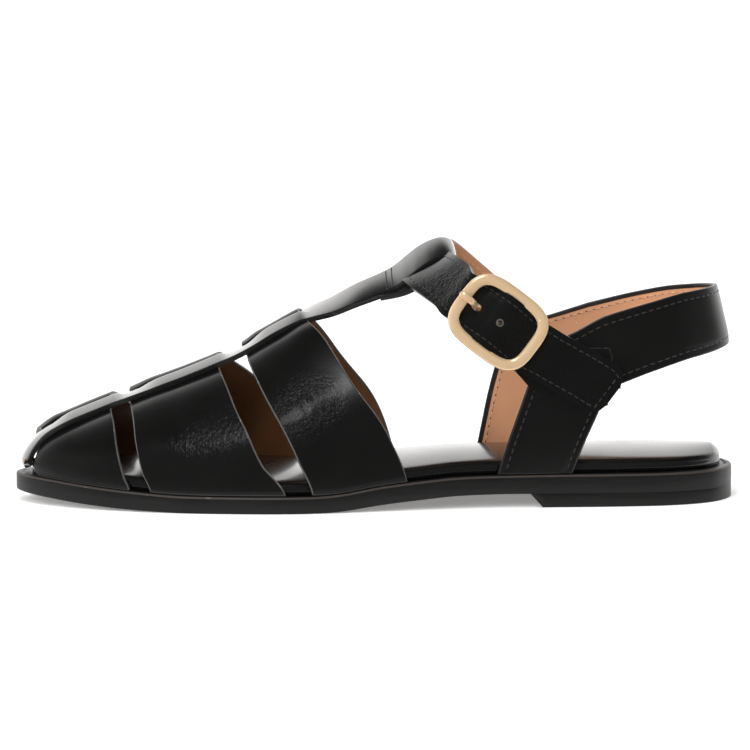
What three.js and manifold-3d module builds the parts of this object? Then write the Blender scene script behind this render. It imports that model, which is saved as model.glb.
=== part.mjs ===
// Woven T-bar sandal, left foot. Millimetres, +X to the toe, +Y to the outer side, +Z up.
// Stations "s" run along the sole from the back of the heel (0) to the tip of the toe (LENGTH).
import * as THREE from 'three';
import Module from 'manifold-3d';

const wasm = await Module();
wasm.setup();

const LENGTH = 262;          // outsole, heel to toe
const HALF = LENGTH / 2;
const FIT = 0.3;             // clearance between curved pieces
const SEAT_END = 72;         // foot of the heel breast
const BREAST_RAKE = 4.5;     // the breast leans back this much over the lift's height
const LAST_INSET = 3.4;      // inner face of the bands, in from the outsole edge
const INSOLE_INSET = 4.3;    // footbed wall, in from the outsole edge
const TOE_INSET = 2;         // and this much more behind the toe strap
const INSOLE_WALL = 4.8;     // height of the footbed at its edge
const BAND_THICK = 1.6;
const BAR_HALF = 7.5;        // half width of the centre strap
const BACK_THICK = 1.8;
const ANKLE_THICK = 1.8;
const ANKLE_HALF = 9.3;
const TAB_THICK = 1;
const TAB_HALF = 9;
const FOOT_GAP = 0.5;        // bands and quarters stop this far above the outsole
const WALL_POWER = 0.8;      // squareness of the last just above the sole

// A short table: one row per section, columns named in the first argument.
function table(names, ...lines) {
  const keys = names.split(' ');
  return lines.map((line) => Object.fromEntries(keys.map((key, i) => [key, line[i]])));
}

// Smooth reading of one column of a table at a place along its first column.
function read(rows, key, column, at) {
  const last = rows.length - 1;
  const x = Math.min(Math.max(at, rows[0][key]), rows[last][key]);
  let i = 0;
  while (i < last - 1 && rows[i + 1][key] <= x) i += 1;
  const slope = (k) => {
    const a = rows[Math.max(k - 1, 0)];
    const b = rows[Math.min(k + 1, last)];
    return (b[column] - a[column]) / (b[key] - a[key]);
  };
  const span = rows[i + 1][key] - rows[i][key];
  const t = (x - rows[i][key]) / span;
  const rise = t * t * (3 - 2 * t);
  return rows[i][column] * (1 - rise) + rows[i + 1][column] * rise
    + slope(i) * span * t * (1 - t) * (1 - t) - slope(i + 1) * span * t * t * (1 - t);
}

// Half widths of the outsole on the outer and inner sides.
const OUTLINE = table('s outer inner',
  [0, 0, 0], [3, 12.5, 12.5], [10, 21.5, 21], [25, 28.5, 27.5], [45, 30.8, 29.3], [70, 31.3, 27.6],
  [95, 33, 25.2], [120, 37, 27], [145, 41.5, 33.5], [165, 43.5, 39], [188, 41.6, 43.5],
  [205, 38.6, 42.4], [222, 33.4, 38.2], [236, 27.2, 31.6], [248, 19.6, 23], [256, 12.4, 14.4],
  [260.4, 5.9, 6.6], [262, 0, 0]);

// Side profile of the outsole: rise of its underside off the ground, and its thickness.
const PROFILE = table('s rise thick',
  [0, 5, 6.9], [40, 5, 6.9], [78, 5, 6.8], [103, 4.7, 6.8], [115, 3.8, 6.8], [131, 2.3, 6.7],
  [146, 0.4, 6.3], [158, 0, 6.1], [200, 0, 6.2], [222, 0.7, 6.7], [237, 1.7, 6.9],
  [249, 2.8, 6.9], [262, 4, 6.5]);

// Crest of the last: its height, its place across, and how sharp the crest is.
const CREST = table('s z y crown',
  [3.4, 11.9, 0, 1.2], [60, 60, -2, 1.8], [120, 82, -4.5, 1.9], [138, 74.2, -4.5, 1.9],
  [147, 70, -4.5, 1.9], [156.5, 65.2, -4.5, 1.85], [167.4, 58.8, -4.3, 1.8],
  [177.6, 52.9, -4, 1.75], [185, 48.9, -3.8, 1.7], [202, 42.2, -3.2, 1.55],
  [217, 37, -2.6, 1.45], [223, 34.8, -2.3, 1.4], [239, 28.6, -1.5, 1.3], [250, 24, -0.8, 1.2],
  [255, 20.2, -0.4, 1.1], [258, 15.2, -0.1, 1.05], [258.6, 10.8, 0, 1]);

// "turn" spaces the stations closely at both ends: 0 at the heel, 1 at the toe.
const turnOf = (s, inset) => Math.acos(Math.min(Math.max(
  1 - 2 * (s - inset) / (LENGTH - 2 * inset), -1), 1)) / Math.PI;
const stationOf = (turn, inset) => inset + (LENGTH - 2 * inset) * (1 - Math.cos(Math.PI * turn)) / 2;
for (const row of OUTLINE) row.turn = turnOf(row.s, 0);
for (const row of CREST) row.turn = turnOf(row.s, LAST_INSET);

const soleBottom = (s) => Math.max(read(PROFILE, 's', 'rise', s), 0);
const soleTop = (s) => soleBottom(s) + read(PROFILE, 's', 'thick', s);

// A point of the sole's outline moved in by "inset"; side is +1 outer, -1 inner.
function outline(turn, side, inset) {
  const column = side > 0 ? 'outer' : 'inner';
  const width = (t) => read(OUTLINE, 'turn', column, t);
  const step = 1e-3;
  let ds = stationOf(Math.min(turn + step, 1), 0) - stationOf(Math.max(turn - step, 0), 0);
  let dw = width(Math.min(turn + step, 1)) - width(Math.max(turn - step, 0));
  if (turn <= step || turn >= 1 - step) {
    ds = 0;
    dw = turn < 0.5 ? 1 : -1;
  }
  const size = Math.hypot(ds, dw);
  const s = stationOf(turn, 0) + inset * dw / size;
  const y = Math.max(width(turn) - inset * ds / size, 0);
  return { s, y: side * y };
}

const point = (s, y, z) => new THREE.Vector3(s - HALF, y, z);

// The last: "turn" along it, "round" from +1 at the outer feather edge over 0 at the crest to -1.
function lastPoint(turn, round) {
  const angle = Math.abs(round) * Math.PI / 2;
  const out = Math.sin(angle);
  const up = Math.max(Math.cos(angle), 0);
  const power = read(CREST, 'turn', 'crown', turn) * up * up + WALL_POWER * out * out;
  const foot = outline(turn, round < 0 ? -1 : 1, LAST_INSET);
  const crest = { s: stationOf(turn, LAST_INSET), y: read(CREST, 'turn', 'y', turn) };
  const low = soleTop(foot.s) + FOOT_GAP;
  const s = crest.s + (foot.s - crest.s) * out;
  const y = crest.y + (foot.y - crest.y) * out;
  return point(s, y, low + (read(CREST, 'turn', 'z', turn) - low) * up ** power);
}

// Round the ankle and heel: plan sizes at each height.
const ANKLE = table('z back outerMid outerFront innerMid innerFront',
  [8, 4.6, 27.3, 29.4, 25.6, 21.4], [18, 4, 27.9, 29.8, 26.2, 22.2],
  [25, 3.6, 28.4, 30.2, 26.8, 22.8], [45, 3.1, 29.6, 31.4, 28.2, 25],
  [57, 3.1, 29.4, 31.2, 28.2, 26], [68, 5.4, 28, 29.6, 27, 25.6], [80, 8.4, 26, 26, 25, 23]);
const MID = 50;              // station where the heel's arc becomes the straight side
const FRONT = 105;

// The ankle wall: s is signed, negative on the inner side; z is height.
function anklePoint(along, z) {
  const side = along < 0 ? 'inner' : 'outer';
  const back = read(ANKLE, 'z', 'back', z);
  const mid = read(ANKLE, 'z', `${side}Mid`, z);
  const front = read(ANKLE, 'z', `${side}Front`, z);
  const reach = Math.abs(along);
  const sign = Math.sign(along);
  if (reach < 1) {
    const angle = reach * Math.PI / 2;
    return point(back + (MID - back) * (1 - Math.cos(angle)), sign * mid * Math.sin(angle), z);
  }
  const t = reach - 1;
  return point(MID + (FRONT - MID) * t, sign * (mid + (front - mid) * t * t * (3 - 2 * t)), z);
}
const alongOf = (s) => (s < MID ? Math.acos(1 - (s - 3) / (MID - 3)) * 2 / Math.PI
  : 1 + (s - MID) / (FRONT - MID));

// Collects triangles, welding equal points and dropping triangles of no area.
class Skin {
  constructor() {
    this.index = new Map();
    this.points = [];
    this.faces = [];
  }

  vertex(p) {
    const key = `${Math.round(p.x * 2e3)},${Math.round(p.y * 2e3)},${Math.round(p.z * 2e3)}`;
    if (!this.index.has(key)) {
      this.index.set(key, this.points.length);
      this.points.push(p.clone());
    }
    return this.index.get(key);
  }

  triangle(a, b, c) {
    const ids = [this.vertex(a), this.vertex(b), this.vertex(c)];
    if (new Set(ids).size === 3) this.faces.push(ids);
  }

  quad(a, b, c, d) {
    this.triangle(a, b, c);
    this.triangle(a, c, d);
  }

  volume() {
    return this.faces.reduce((sum, ids) => {
      const [a, b, c] = ids.map((id) => this.points[id]);
      return sum + a.dot(b.clone().cross(c)) / 6;
    }, 0);
  }

  // The closed solid, faced outward whichever way its rings were wound.
  solid() {
    const faces = this.volume() < 0 ? this.faces.map((ids) => ids.slice().reverse()) : this.faces;
    return new wasm.Manifold(new wasm.Mesh({
      numProp: 3,
      vertProperties: new Float32Array(this.points.flatMap((p) => [p.x, p.y, p.z])),
      triVerts: new Uint32Array(faces.flat()),
    }));
  }
}

// A solid from a row of closed rings, each turning the same way; flat fans close both ends.
function loft(rings, closed = false) {
  const skin = new Skin();
  const count = rings[0].length;
  const spans = closed ? rings.length : rings.length - 1;
  for (let i = 0; i < spans; i += 1) {
    const next = rings[(i + 1) % rings.length];
    for (let j = 0; j < count; j += 1) {
      const k = (j + 1) % count;
      skin.quad(rings[i][j], rings[i][k], next[k], next[j]);
    }
  }
  if (!closed) {
    const end = rings[rings.length - 1];
    for (let j = 1; j < count - 1; j += 1) {
      skin.triangle(rings[0][0], rings[0][j + 1], rings[0][j]);
      skin.triangle(end[0], end[j], end[j + 1]);
    }
  }
  return skin.solid();
}

// A curved slab on a grid of points: from "low" to "high" along the grid's own normals.
function slab(grid, low, high) {
  const rows = grid.length;
  const cols = grid[0].length;
  const normal = (i, j) => {
    const along = grid[Math.min(i + 1, rows - 1)][j].clone().sub(grid[Math.max(i - 1, 0)][j]);
    const across = grid[i][Math.min(j + 1, cols - 1)].clone().sub(grid[i][Math.max(j - 1, 0)]);
    return along.cross(across).normalize();
  };
  const lift = (value, i) => (typeof value === 'function' ? value(i / (rows - 1)) : value);
  const face = (value) => grid.map((line, i) => line.map(
    (p, j) => p.clone().addScaledVector(normal(i, j), lift(value, i))));
  const under = face(low);
  const over = face(high);
  const skin = new Skin();
  for (let i = 0; i < rows - 1; i += 1) {
    for (let j = 0; j < cols - 1; j += 1) {
      skin.quad(over[i][j], over[i][j + 1], over[i + 1][j + 1], over[i + 1][j]);
      skin.quad(under[i][j], under[i + 1][j], under[i + 1][j + 1], under[i][j + 1]);
    }
    skin.quad(over[i][0], over[i + 1][0], under[i + 1][0], under[i][0]);
    skin.quad(over[i][cols - 1], under[i][cols - 1], under[i + 1][cols - 1], over[i + 1][cols - 1]);
  }
  for (let j = 0; j < cols - 1; j += 1) {
    skin.quad(over[0][j], under[0][j], under[0][j + 1], over[0][j + 1]);
    skin.quad(over[rows - 1][j], over[rows - 1][j + 1], under[rows - 1][j + 1], under[rows - 1][j]);
  }
  return skin.solid();
}

const blend = (a, b, t) => a + (b - a) * t;
const steps = (count, from, to) => Array.from({ length: count + 1 },
  (_, i) => blend(from, to, i / count));

// ---------------------------------------------------------------- sole
function soleRings(count, inset, section) {
  return steps(count, 0, 1).map((turn) => section(
    outline(turn, 1, inset(turn)), outline(turn, -1, inset(turn))));
}

function outsole() {
  const section = (outer, inner) => {
    const across = steps(4, 0, 1).map((t) => ({
      s: blend(outer.s, inner.s, t), y: blend(outer.y, inner.y, t) }));
    const top = across.map((p) => point(p.s, p.y, soleTop(p.s)));
    const bottom = across.map((p) => point(p.s, p.y, soleBottom(p.s))).reverse();
    return [...top, ...bottom];
  };
  return loft(soleRings(64, () => 0, section));
}

function heelLift() {
  const rise = soleBottom(0);
  const rings = steps(30, 0, 1).map((t) => {
    const turn = turnOf(SEAT_END, 0) * t;
    const outer = outline(turn, 1, 0);
    const inner = outline(turn, -1, 0);
    const rake = BREAST_RAKE * t ** 8;
    return [point(outer.s + rake, outer.y, rise), point(inner.s + rake, inner.y, rise),
      point(inner.s, inner.y, 0), point(outer.s, outer.y, 0)];
  });
  return loft(rings);
}

// Footbed section: walls rounded over into a crowned top. "in" is the share across, "up" of height.
const BED = table('in up',
  [0, 0], [-0.006, 0.3], [0, 0.6], [0.02, 0.84], [0.06, 1], [0.16, 1.2], [0.32, 1.38], [0.5, 1.44]);

function insole() {
  const section = (outer, inner) => {
    const size = Math.min((outer.y - inner.y) / 24, 1);
    const half = BED.map((row) => ({ in: row.in, up: row.up * INSOLE_WALL * size ** 0.5 }));
    const far = half.slice(0, -1).reverse().map((row) => ({ in: 1 - row.in, up: row.up }));
    return [...half, ...far].map((row) => {
      const s = blend(outer.s, inner.s, row.in);
      return point(s, blend(outer.y, inner.y, row.in), soleTop(s) + FIT + row.up);
    });
  };
  const inset = (turn) => INSOLE_INSET + TOE_INSET * Math.max((turn - 0.85) / 0.15, 0) ** 2;
  return loft(soleRings(52, inset, section));
}

// ---------------------------------------------------------------- woven upper
// Each band: its two edges at each place round the foot, by station.
const FRONT_BAND = table('round rear front',
  [-1, 215, 252], [-0.7, 219, 252.6], [-0.4, 222.5, 252], [0, 226.6, 251.4], [0.4, 225.1, 252.6],
  [0.75, 223.1, 253.8], [0.94, 220.9, 254], [1, 219, 252.4]);
const MIDDLE_BAND = table('round rear front',
  [-1, 154, 204], [-0.7, 163, 210], [-0.4, 174, 215.5], [-0.12, 184.6, 218.6],
  [0.05, 187.6, 220.2], [0.41, 182.8, 218.3], [0.66, 178.1, 217.1], [0.9, 172.2, 214.8],
  [1, 163.8, 211.8]);
const REAR_BAND = table('round rear front',
  [-1, 122, 147], [-0.7, 133, 156.5], [-0.4, 144.5, 167.5], [-0.06, 156.6, 177.6],
  [0.12, 154.6, 177.4], [0.3, 148.6, 175],
  [0.66, 136.5, 166.8], [0.9, 126.6, 159.8], [1, 121, 154.6]);

// Weave: under the outer half of the centre strap, up through its slit, over the inner half.
const WEAVE = table('round lift',
  [-1, 0], [-0.42, 0], [-0.3, 0.6], [-0.17, 2.6], [-0.06, 2.7], [0, 1.2], [0.07, 0.02], [0.2, 0],
  [1, 0]);

function band(rows) {
  const grid = steps(40, 1, -1).map((round) => {
    const rear = turnOf(read(rows, 'round', 'rear', round), LAST_INSET);
    const front = turnOf(read(rows, 'round', 'front', round), LAST_INSET);
    return steps(5, rear, front).map((turn) => lastPoint(turn, round));
  });
  const lift = (t) => Math.max(read(WEAVE, 'round', 'lift', 1 - 2 * t), 0);
  return slab(grid, lift, (t) => lift(t) + BAND_THICK);
}

// Centre strap: from the toe tip up the crest, round the ankle strap and back under itself.
// "tilt" leans it to the outer side, degrees; "sag" is its own crossways curve.
const CENTRE = table('s y z tilt sag',
  [258.9, 0, 11.6, 0, 2.6], [260, 0, 13.6, 0, 2.6], [259.6, 0, 16.4, 0, 2.4], [257, 0, 20.6, 0, 2],
  [252.6, -0.5, 24.9, 0, 1.6], [247, -0.8, 27.8, 0, 1.3], [239, -1.5, 30.9, 0, 1.1],
  [223, -2.3, 37.1, 0, 1], [202, -3.2, 44.6, 0, 1], [185, -3.8, 51.3, 0, 1.1],
  [177, -4, 55.2, 0, 1.2], [167, -4.3, 61.1, 0, 1.3], [156.5, -4.5, 67, 2, 1.3],
  [147, -4.4, 70.6, 9, 1], [138, -4, 74.4, 15, 0.8], [129, -3.6, 78, 20, 0.6],
  [124, -3.4, 80.6, 20, 0.5], [119.6, -3.2, 84.3, 21, 0.5], [115.5, -3, 87.6, 22, 0.5],
  [111, -3, 90.3, 22, 0.5], [106.5, -3, 91.6, 22, 0.5], [102.8, -3, 91, 22, 0.5],
  [101.2, -3, 88.6, 22, 0.5], [102.5, -3, 86.2, 22, 0.5], [106, -3, 84.6, 22, 0.5],
  [109.8, -3, 82.8, 22, 0.5], [113.6, -3, 80.6, 22, 0.5], [118, -3.2, 78.3, 21, 0.5],
  [122.6, -3.4, 77.4, 20, 0.5], [129, -3.5, 76.6, 20, 0.5]);
CENTRE.forEach((row, i) => { row.n = i; });

function centreStrap() {
  const grid = steps(76, 0, CENTRE.length - 1).map((n) => {
    const at = (column) => read(CENTRE, 'n', column, n);
    const tilt = at('tilt') * Math.PI / 180;
    const middle = point(at('s'), at('y'), at('z'));
    const ahead = point(read(CENTRE, 'n', 's', n + 0.05), at('y'), read(CENTRE, 'n', 'z', n + 0.05));
    const behind = point(read(CENTRE, 'n', 's', n - 0.05), at('y'), read(CENTRE, 'n', 'z', n - 0.05));
    const run = ahead.sub(behind).normalize();
    const across = new THREE.Vector3(0, Math.cos(tilt), -Math.sin(tilt));
    const inward = run.clone().cross(across).normalize();
    return steps(4, -1, 1).map((t) => middle.clone().addScaledVector(across, BAR_HALF * t)
      .addScaledVector(inward, at('sag') * t * t));
  });
  return slab(grid, -BAND_THICK, 0);
}

// ---------------------------------------------------------------- heel strap and quarters
const HEEL_STRAP = table('along low high',
  [-1.5, 36, 60], [-1.27, 38.5, 63.4], [-1, 43, 68], [-0.75, 49, 72.2], [-0.5, 52.6, 75.2],
  [0, 56, 77.4], [0.5, 53.2, 76.4], [0.75, 49, 73.4], [1, 42.6, 68.8], [1.18, 38.8, 63.8],
  [1.3, 37.2, 60.8]);
const OUTER_QUARTER = table('z rear front',
  [12.3, 61, 88.6], [22, 57.4, 85.6], [34.8, 51.9, 81.2], [44.4, 48.4, 77.9], [54, 47, 74.6],
  [58, 48, 73]);
const INNER_QUARTER = table('z rear front',
  [12.3, 64, 92.4], [22, 61, 90.4], [34.8, 56.5, 87.6], [44.4, 53, 85], [54, 51, 82], [62, 52, 79]);

function quarter(rows, side) {
  const top = rows[rows.length - 1].z;
  const grid = steps(12, rows[0].z, top).map((z) => {
    const rear = side * alongOf(read(rows, 'z', 'rear', z));
    const front = side * alongOf(read(rows, 'z', 'front', z));
    return steps(5, rear, front).map((along) => anklePoint(along, z));
  });
  return side > 0 ? slab(grid, 0, BACK_THICK) : slab(grid, -BACK_THICK, 0);
}

function backStrap() {
  const ends = [HEEL_STRAP[0].along, HEEL_STRAP[HEEL_STRAP.length - 1].along];
  const grid = steps(48, ends[0], ends[1]).map((along) => {
    const low = read(HEEL_STRAP, 'along', 'low', along);
    const high = read(HEEL_STRAP, 'along', 'high', along);
    return steps(4, low, high).map((z) => anklePoint(along, z));
  });
  return slab(grid, -BACK_THICK - 0.2, -0.2);
}

// ---------------------------------------------------------------- buckle and ankle strap
// Buckle frame of reference: X along the strap towards the instep, Z out of the buckle's face.
const BUCKLE = point(88.7, 34.8, 67.6);
const FACE = new THREE.Vector3(0, 0.98, 0.2).normalize();
const RUN = new THREE.Vector3(0.8, -0.1225, 0.6).normalize();
const SIDE = new THREE.Vector3().crossVectors(FACE, RUN).negate();   // up and to the rear
const atBuckle = (x, u, z) => BUCKLE.clone().addScaledVector(RUN, x).addScaledVector(SIDE, u)
  .addScaledVector(FACE, z);

const UPRIGHT = 0.162;        // lean that turns the side direction into a vertical plane
const leaning = (lean) => SIDE.clone().addScaledVector(FACE, lean).normalize();

const RING_X = 13.9;        // middle line of the frame, half its length along the strap
const RING_U = 12.3;        // and half its width across it
const RING_POWER = 4;      // squareness of the frame
const RING_WIDE = 4.3;
const RING_THICK = 2.6;
const BAR_RADIUS = 0.9;

function oval(centre, wide, wideHalf, thick, thickHalf, count) {
  return Array.from({ length: count }, (_, i) => {
    const angle = (i + 0.5) * 2 * Math.PI / count;
    return centre.clone().addScaledVector(wide, wideHalf * Math.cos(angle))
      .addScaledVector(thick, thickHalf * Math.sin(angle));
  });
}

// A bar of oval section along a path in the buckle's own plane x-z or u-z.
function rod(path, wide, wideHalf, thickHalf, count) {
  const rings = path.map((p, i) => {
    const run = path[Math.min(i + 1, path.length - 1)].clone().sub(path[Math.max(i - 1, 0)]).normalize();
    const thick = run.clone().cross(wide).normalize();
    const at = (value) => (typeof value === 'function' ? value(i / (path.length - 1)) : value);
    return oval(p, wide, at(wideHalf), thick, at(thickHalf), count);
  });
  return loft(rings);
}

const CENTRE_BAR = table('u z', [-12.4, -0.8], [-11.6, -1.3], [-10.9, -2], [-10.1, -2.5], [-9, -2.6],
  [9, -2.6], [10.1, -2.5], [10.9, -2], [11.6, -1.3], [12.4, -0.8]);

function buckleFrame() {
  const power = 2 / RING_POWER;
  const bowed = (value) => Math.sign(value) * Math.abs(value) ** power;
  const middle = steps(52, 0, 2 * Math.PI).slice(0, -1).map((angle) => ({
    x: RING_X * bowed(Math.cos(angle)), u: RING_U * bowed(Math.sin(angle)) }));
  const rings = middle.map((p, i) => {
    const next = middle[(i + 1) % middle.length];
    const prev = middle[(i + middle.length - 1) % middle.length];
    const out = RUN.clone().multiplyScalar(next.u - prev.u)
      .addScaledVector(SIDE, prev.x - next.x).normalize();
    return oval(atBuckle(p.x, p.u, 0), out, RING_WIDE / 2, FACE, RING_THICK / 2, 10);
  });
  const bar = rod(CENTRE_BAR.map((row) => atBuckle(0, row.u, row.z)), RUN, BAR_RADIUS, BAR_RADIUS, 10);
  return loft(rings, true).add(bar);
}

// Prong: hooked round the centre bar, out through the strap's hole and over the frame.
const PRONG = table('x z wide thick',
  [-1.15, -3.7, 0.85, 0.42], [-1.55, -2.6, 0.85, 0.42], [-1.1, -1.5, 0.85, 0.42], [0, -1.06, 0.85, 0.42],
  [1.6, -1.3, 0.85, 0.45], [3.3, -2, 0.85, 0.5], [5, -3.1, 0.85, 0.55], [6.6, -4.1, 0.85, 0.58],
  [8.2, -4.35, 0.85, 0.6], [9.3, -3.4, 0.85, 0.62], [9.9, -1.8, 0.85, 0.64], [10.4, 0, 0.85, 0.7],
  [11.2, 1.7, 0.85, 0.74], [12.6, 2.5, 0.85, 0.76], [14, 2.6, 0.85, 0.76], [15.5, 2.2, 0.8, 0.7],
  [16.5, 1.5, 0.5, 0.4]);
PRONG.forEach((row, i) => { row.n = i; });

function buckleProng() {
  const count = 40;
  const at = (column) => (t) => read(PRONG, 'n', column, t * (PRONG.length - 1));
  const path = steps(count, 0, 1).map((t) => atBuckle(at('x')(t), 0, at('z')(t)));
  return rod(path, SIDE, at('wide'), at('thick'), 8);
}

// Ankle strap, middle of its thickness, from the tip of the tail to the inner quarter.
const TAIL = table('s y z half', [46.8, 33.1, 38.4, 3.2], [47.8, 33.1, 39.1, 6.2],
  [50.4, 33.2, 41.1, 8.5], [56, 33.9, 45.2, ANKLE_HALF], [66, 34.9, 51.6, ANKLE_HALF],
  [72, 34.9, 55.2, ANKLE_HALF]);
const THROUGH = table('x z', [-14, -2.7], [-12, -2.7], [-9, -2.4], [-6, -1.1], [-3, 0.3], [0, 0.75],
  [3, 0.3], [6, -1.1], [9, -2.4], [12, -2.8], [14.5, -3.3], [17.5, -5.8]);
const OVER = table('s y z as ay az', [104.5, 22, 77.6, -0.68, -0.14, 0.72],
  [109.8, 12, 79.5, -0.8, -0.08, 0.58], [111.9, 4, 82.1, -0.86, -0.04, 0.51],
  [112.1, -3, 84.8, -0.86, -0.02, 0.51], [111.8, -10, 87.3, -0.86, 0.02, 0.51],
  [108.6, -17, 86, -0.8, 0.1, 0.6], [102, -24, 80.4, -0.68, 0.15, 0.72],
  [93, -28.8, 72.4, -0.6, 0.1, 0.79], [83, -30.9, 64, -0.6, 0.04, 0.8],
  [75, -31.5, 57.6, -0.6, 0, 0.8], [64, -31.8, 49.4, -0.6, 0, 0.8]);

function anklePath() {
  const rows = [];
  const add = (p, across, half) => rows.push({
    n: rows.length, x: p.x, y: p.y, z: p.z, ax: across.x, ay: across.y, az: across.z, half });
  for (const row of TAIL) add(point(row.s, row.y, row.z), leaning(UPRIGHT), row.half);
  for (const row of THROUGH) add(atBuckle(row.x, 0, row.z), SIDE, ANKLE_HALF);
  for (const row of OVER) {
    add(point(row.s, row.y, row.z), new THREE.Vector3(row.as, row.ay, row.az).normalize(), ANKLE_HALF);
  }
  return rows;
}

function ribbon(rows, count, cols, half, low, high) {
  const last = rows.length - 1;
  const grid = steps(count, 0, last).map((n) => {
    const at = (column) => read(rows, 'n', column, n);
    const middle = new THREE.Vector3(at('x'), at('y'), at('z'));
    const across = new THREE.Vector3(at('ax'), at('ay'), at('az')).normalize();
    return steps(cols, -1, 1).map((t) => middle.clone().addScaledVector(across, t * half(at)));
  });
  return slab(grid, low, high);
}

const HOLE_RADIUS = 1.2;
const HOLE_X = -0.6;         // spare hole behind the prong's slot
const SLOT = { x: 9.6, long: 3.6, wide: 2.6 };

// A cutter standing square to the buckle's face.
function cutter(geometry, x, z) {
  const basis = new THREE.Matrix4().makeBasis(RUN, SIDE.clone().negate(), FACE);
  const shape = geometry.applyMatrix4(basis.setPosition(atBuckle(x, 0, z)));
  const skin = new Skin();
  const flat = shape.index ? shape.toNonIndexed() : shape;
  const at = flat.attributes.position;
  const corner = (i) => new THREE.Vector3().fromBufferAttribute(at, i);
  for (let i = 0; i < at.count; i += 3) skin.triangle(corner(i), corner(i + 1), corner(i + 2));
  return skin.solid();
}

const round = (radius) => new THREE.CylinderGeometry(radius, radius, 12, 14).rotateX(Math.PI / 2);

function ankleStrap() {
  const half = (at) => at('half');
  let strap = ribbon(anklePath(), 96, 2, half, -ANKLE_THICK / 2, ANKLE_THICK / 2);
  strap = strap.subtract(cutter(new THREE.BoxGeometry(SLOT.long, SLOT.wide, 8), SLOT.x, -1.5));
  strap = strap.subtract(cutter(round(HOLE_RADIUS), HOLE_X, -2));
  return strap;
}

// Tab that ties the buckle to the outer quarter, doubled round the centre bar.
const TAB = table('x u z half lean',
  [-31, -3.2, -6.3, 3.4, UPRIGHT], [-30.2, -3.2, -6.2, 6, UPRIGHT], [-28, -3, -5.8, 8.2, UPRIGHT],
  [-24, -2.4, -5.1, TAB_HALF, 0.15], [-18, -1.4, -4.38, TAB_HALF, 0.1],
  [-13, -0.6, -4.5, TAB_HALF, 0], [-6, 0, -4.4, TAB_HALF, 0], [-2.4, 0, -4.35, TAB_HALF, 0],
  [0, 0, -4.2, TAB_HALF, 0], [1.15, 0, -3.75, TAB_HALF, 0], [1.6, 0, -2.6, TAB_HALF, 0],
  [1.13, 0, -1.47, TAB_HALF, 0], [0, 0, -1, TAB_HALF, 0], [-1.3, 0, -1.35, TAB_HALF, 0],
  [-2.9, 0, -2.5, TAB_HALF, 0], [-4.2, 0, -2.9, TAB_HALF, 0]);

function buckleTab() {
  const rows = TAB.map((row, n) => {
    const p = atBuckle(row.x, row.u, row.z);
    const across = leaning(row.lean);
    return { n, x: p.x, y: p.y, z: p.z, ax: across.x, ay: across.y, az: across.z, half: row.half };
  });
  const tab = ribbon(rows, 48, 2, (at) => at('half'), -TAB_THICK / 2, TAB_THICK / 2);
  return tab.subtract(cutter(new THREE.BoxGeometry(5.4, 2.4, 5), 0.2, -1.6));
}

// ---------------------------------------------------------------- assembly
const LEATHER = { color: 0x151413, roughness: 0.34, metalness: 0 };
const SOLE = { color: 0x1d1c1b, roughness: 0.6, metalness: 0 };
const FOOTBED = { color: 0x121111, roughness: 0.22, metalness: 0 };
const METAL = { color: 0xe2c79a, roughness: 0.28, metalness: 1 };

function mesh(name, solid, finish) {
  const shape = solid.getMesh();
  const geometry = new THREE.BufferGeometry();
  const points = new Float32Array(shape.numVert * 3);
  for (let i = 0; i < shape.numVert; i += 1) {
    for (let k = 0; k < 3; k += 1) points[3 * i + k] = shape.vertProperties[shape.numProp * i + k];
  }
  geometry.setAttribute('position', new THREE.BufferAttribute(points, 3));
  geometry.setIndex(new THREE.BufferAttribute(new Uint32Array(shape.triVerts), 1));
  geometry.computeVertexNormals();
  const node = new THREE.Mesh(geometry, new THREE.MeshStandardMaterial(finish));
  node.name = name;
  return node;
}

const upper = band(FRONT_BAND).add(band(MIDDLE_BAND)).add(band(REAR_BAND)).add(centreStrap());
const heelAndQuarters = backStrap().add(quarter(OUTER_QUARTER, 1)).add(quarter(INNER_QUARTER, -1));

const sandal = new THREE.Group();
sandal.name = 'woven_sandal';
sandal.add(
  mesh('outsole', outsole(), SOLE),
  mesh('heel_lift', heelLift(), SOLE),
  mesh('insole', insole(), FOOTBED),
  mesh('upper', upper, LEATHER),
  mesh('back_strap', heelAndQuarters, LEATHER),
  mesh('ankle_strap', ankleStrap(), LEATHER),
  mesh('buckle_tab', buckleTab(), LEATHER),
  mesh('buckle_frame', buckleFrame(), METAL),
  mesh('buckle_prong', buckleProng(), METAL),
);

export default sandal;
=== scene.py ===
"""Woven T-bar sandal, left foot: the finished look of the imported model.

Sizes inside the classes are millimetres on the maker's own stations: "s" runs along the sole
from the back of the heel (0) to the tip of the toe (262), y to the outer side and z up. Every
finished mesh is in metres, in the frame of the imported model.
"""

from __future__ import annotations

import logging
import math
from dataclasses import dataclass, field
from enum import Enum
from typing import Any, Callable, ClassVar, Mapping, Sequence

import bmesh
import bpy
from mathutils import Matrix, Vector

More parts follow.
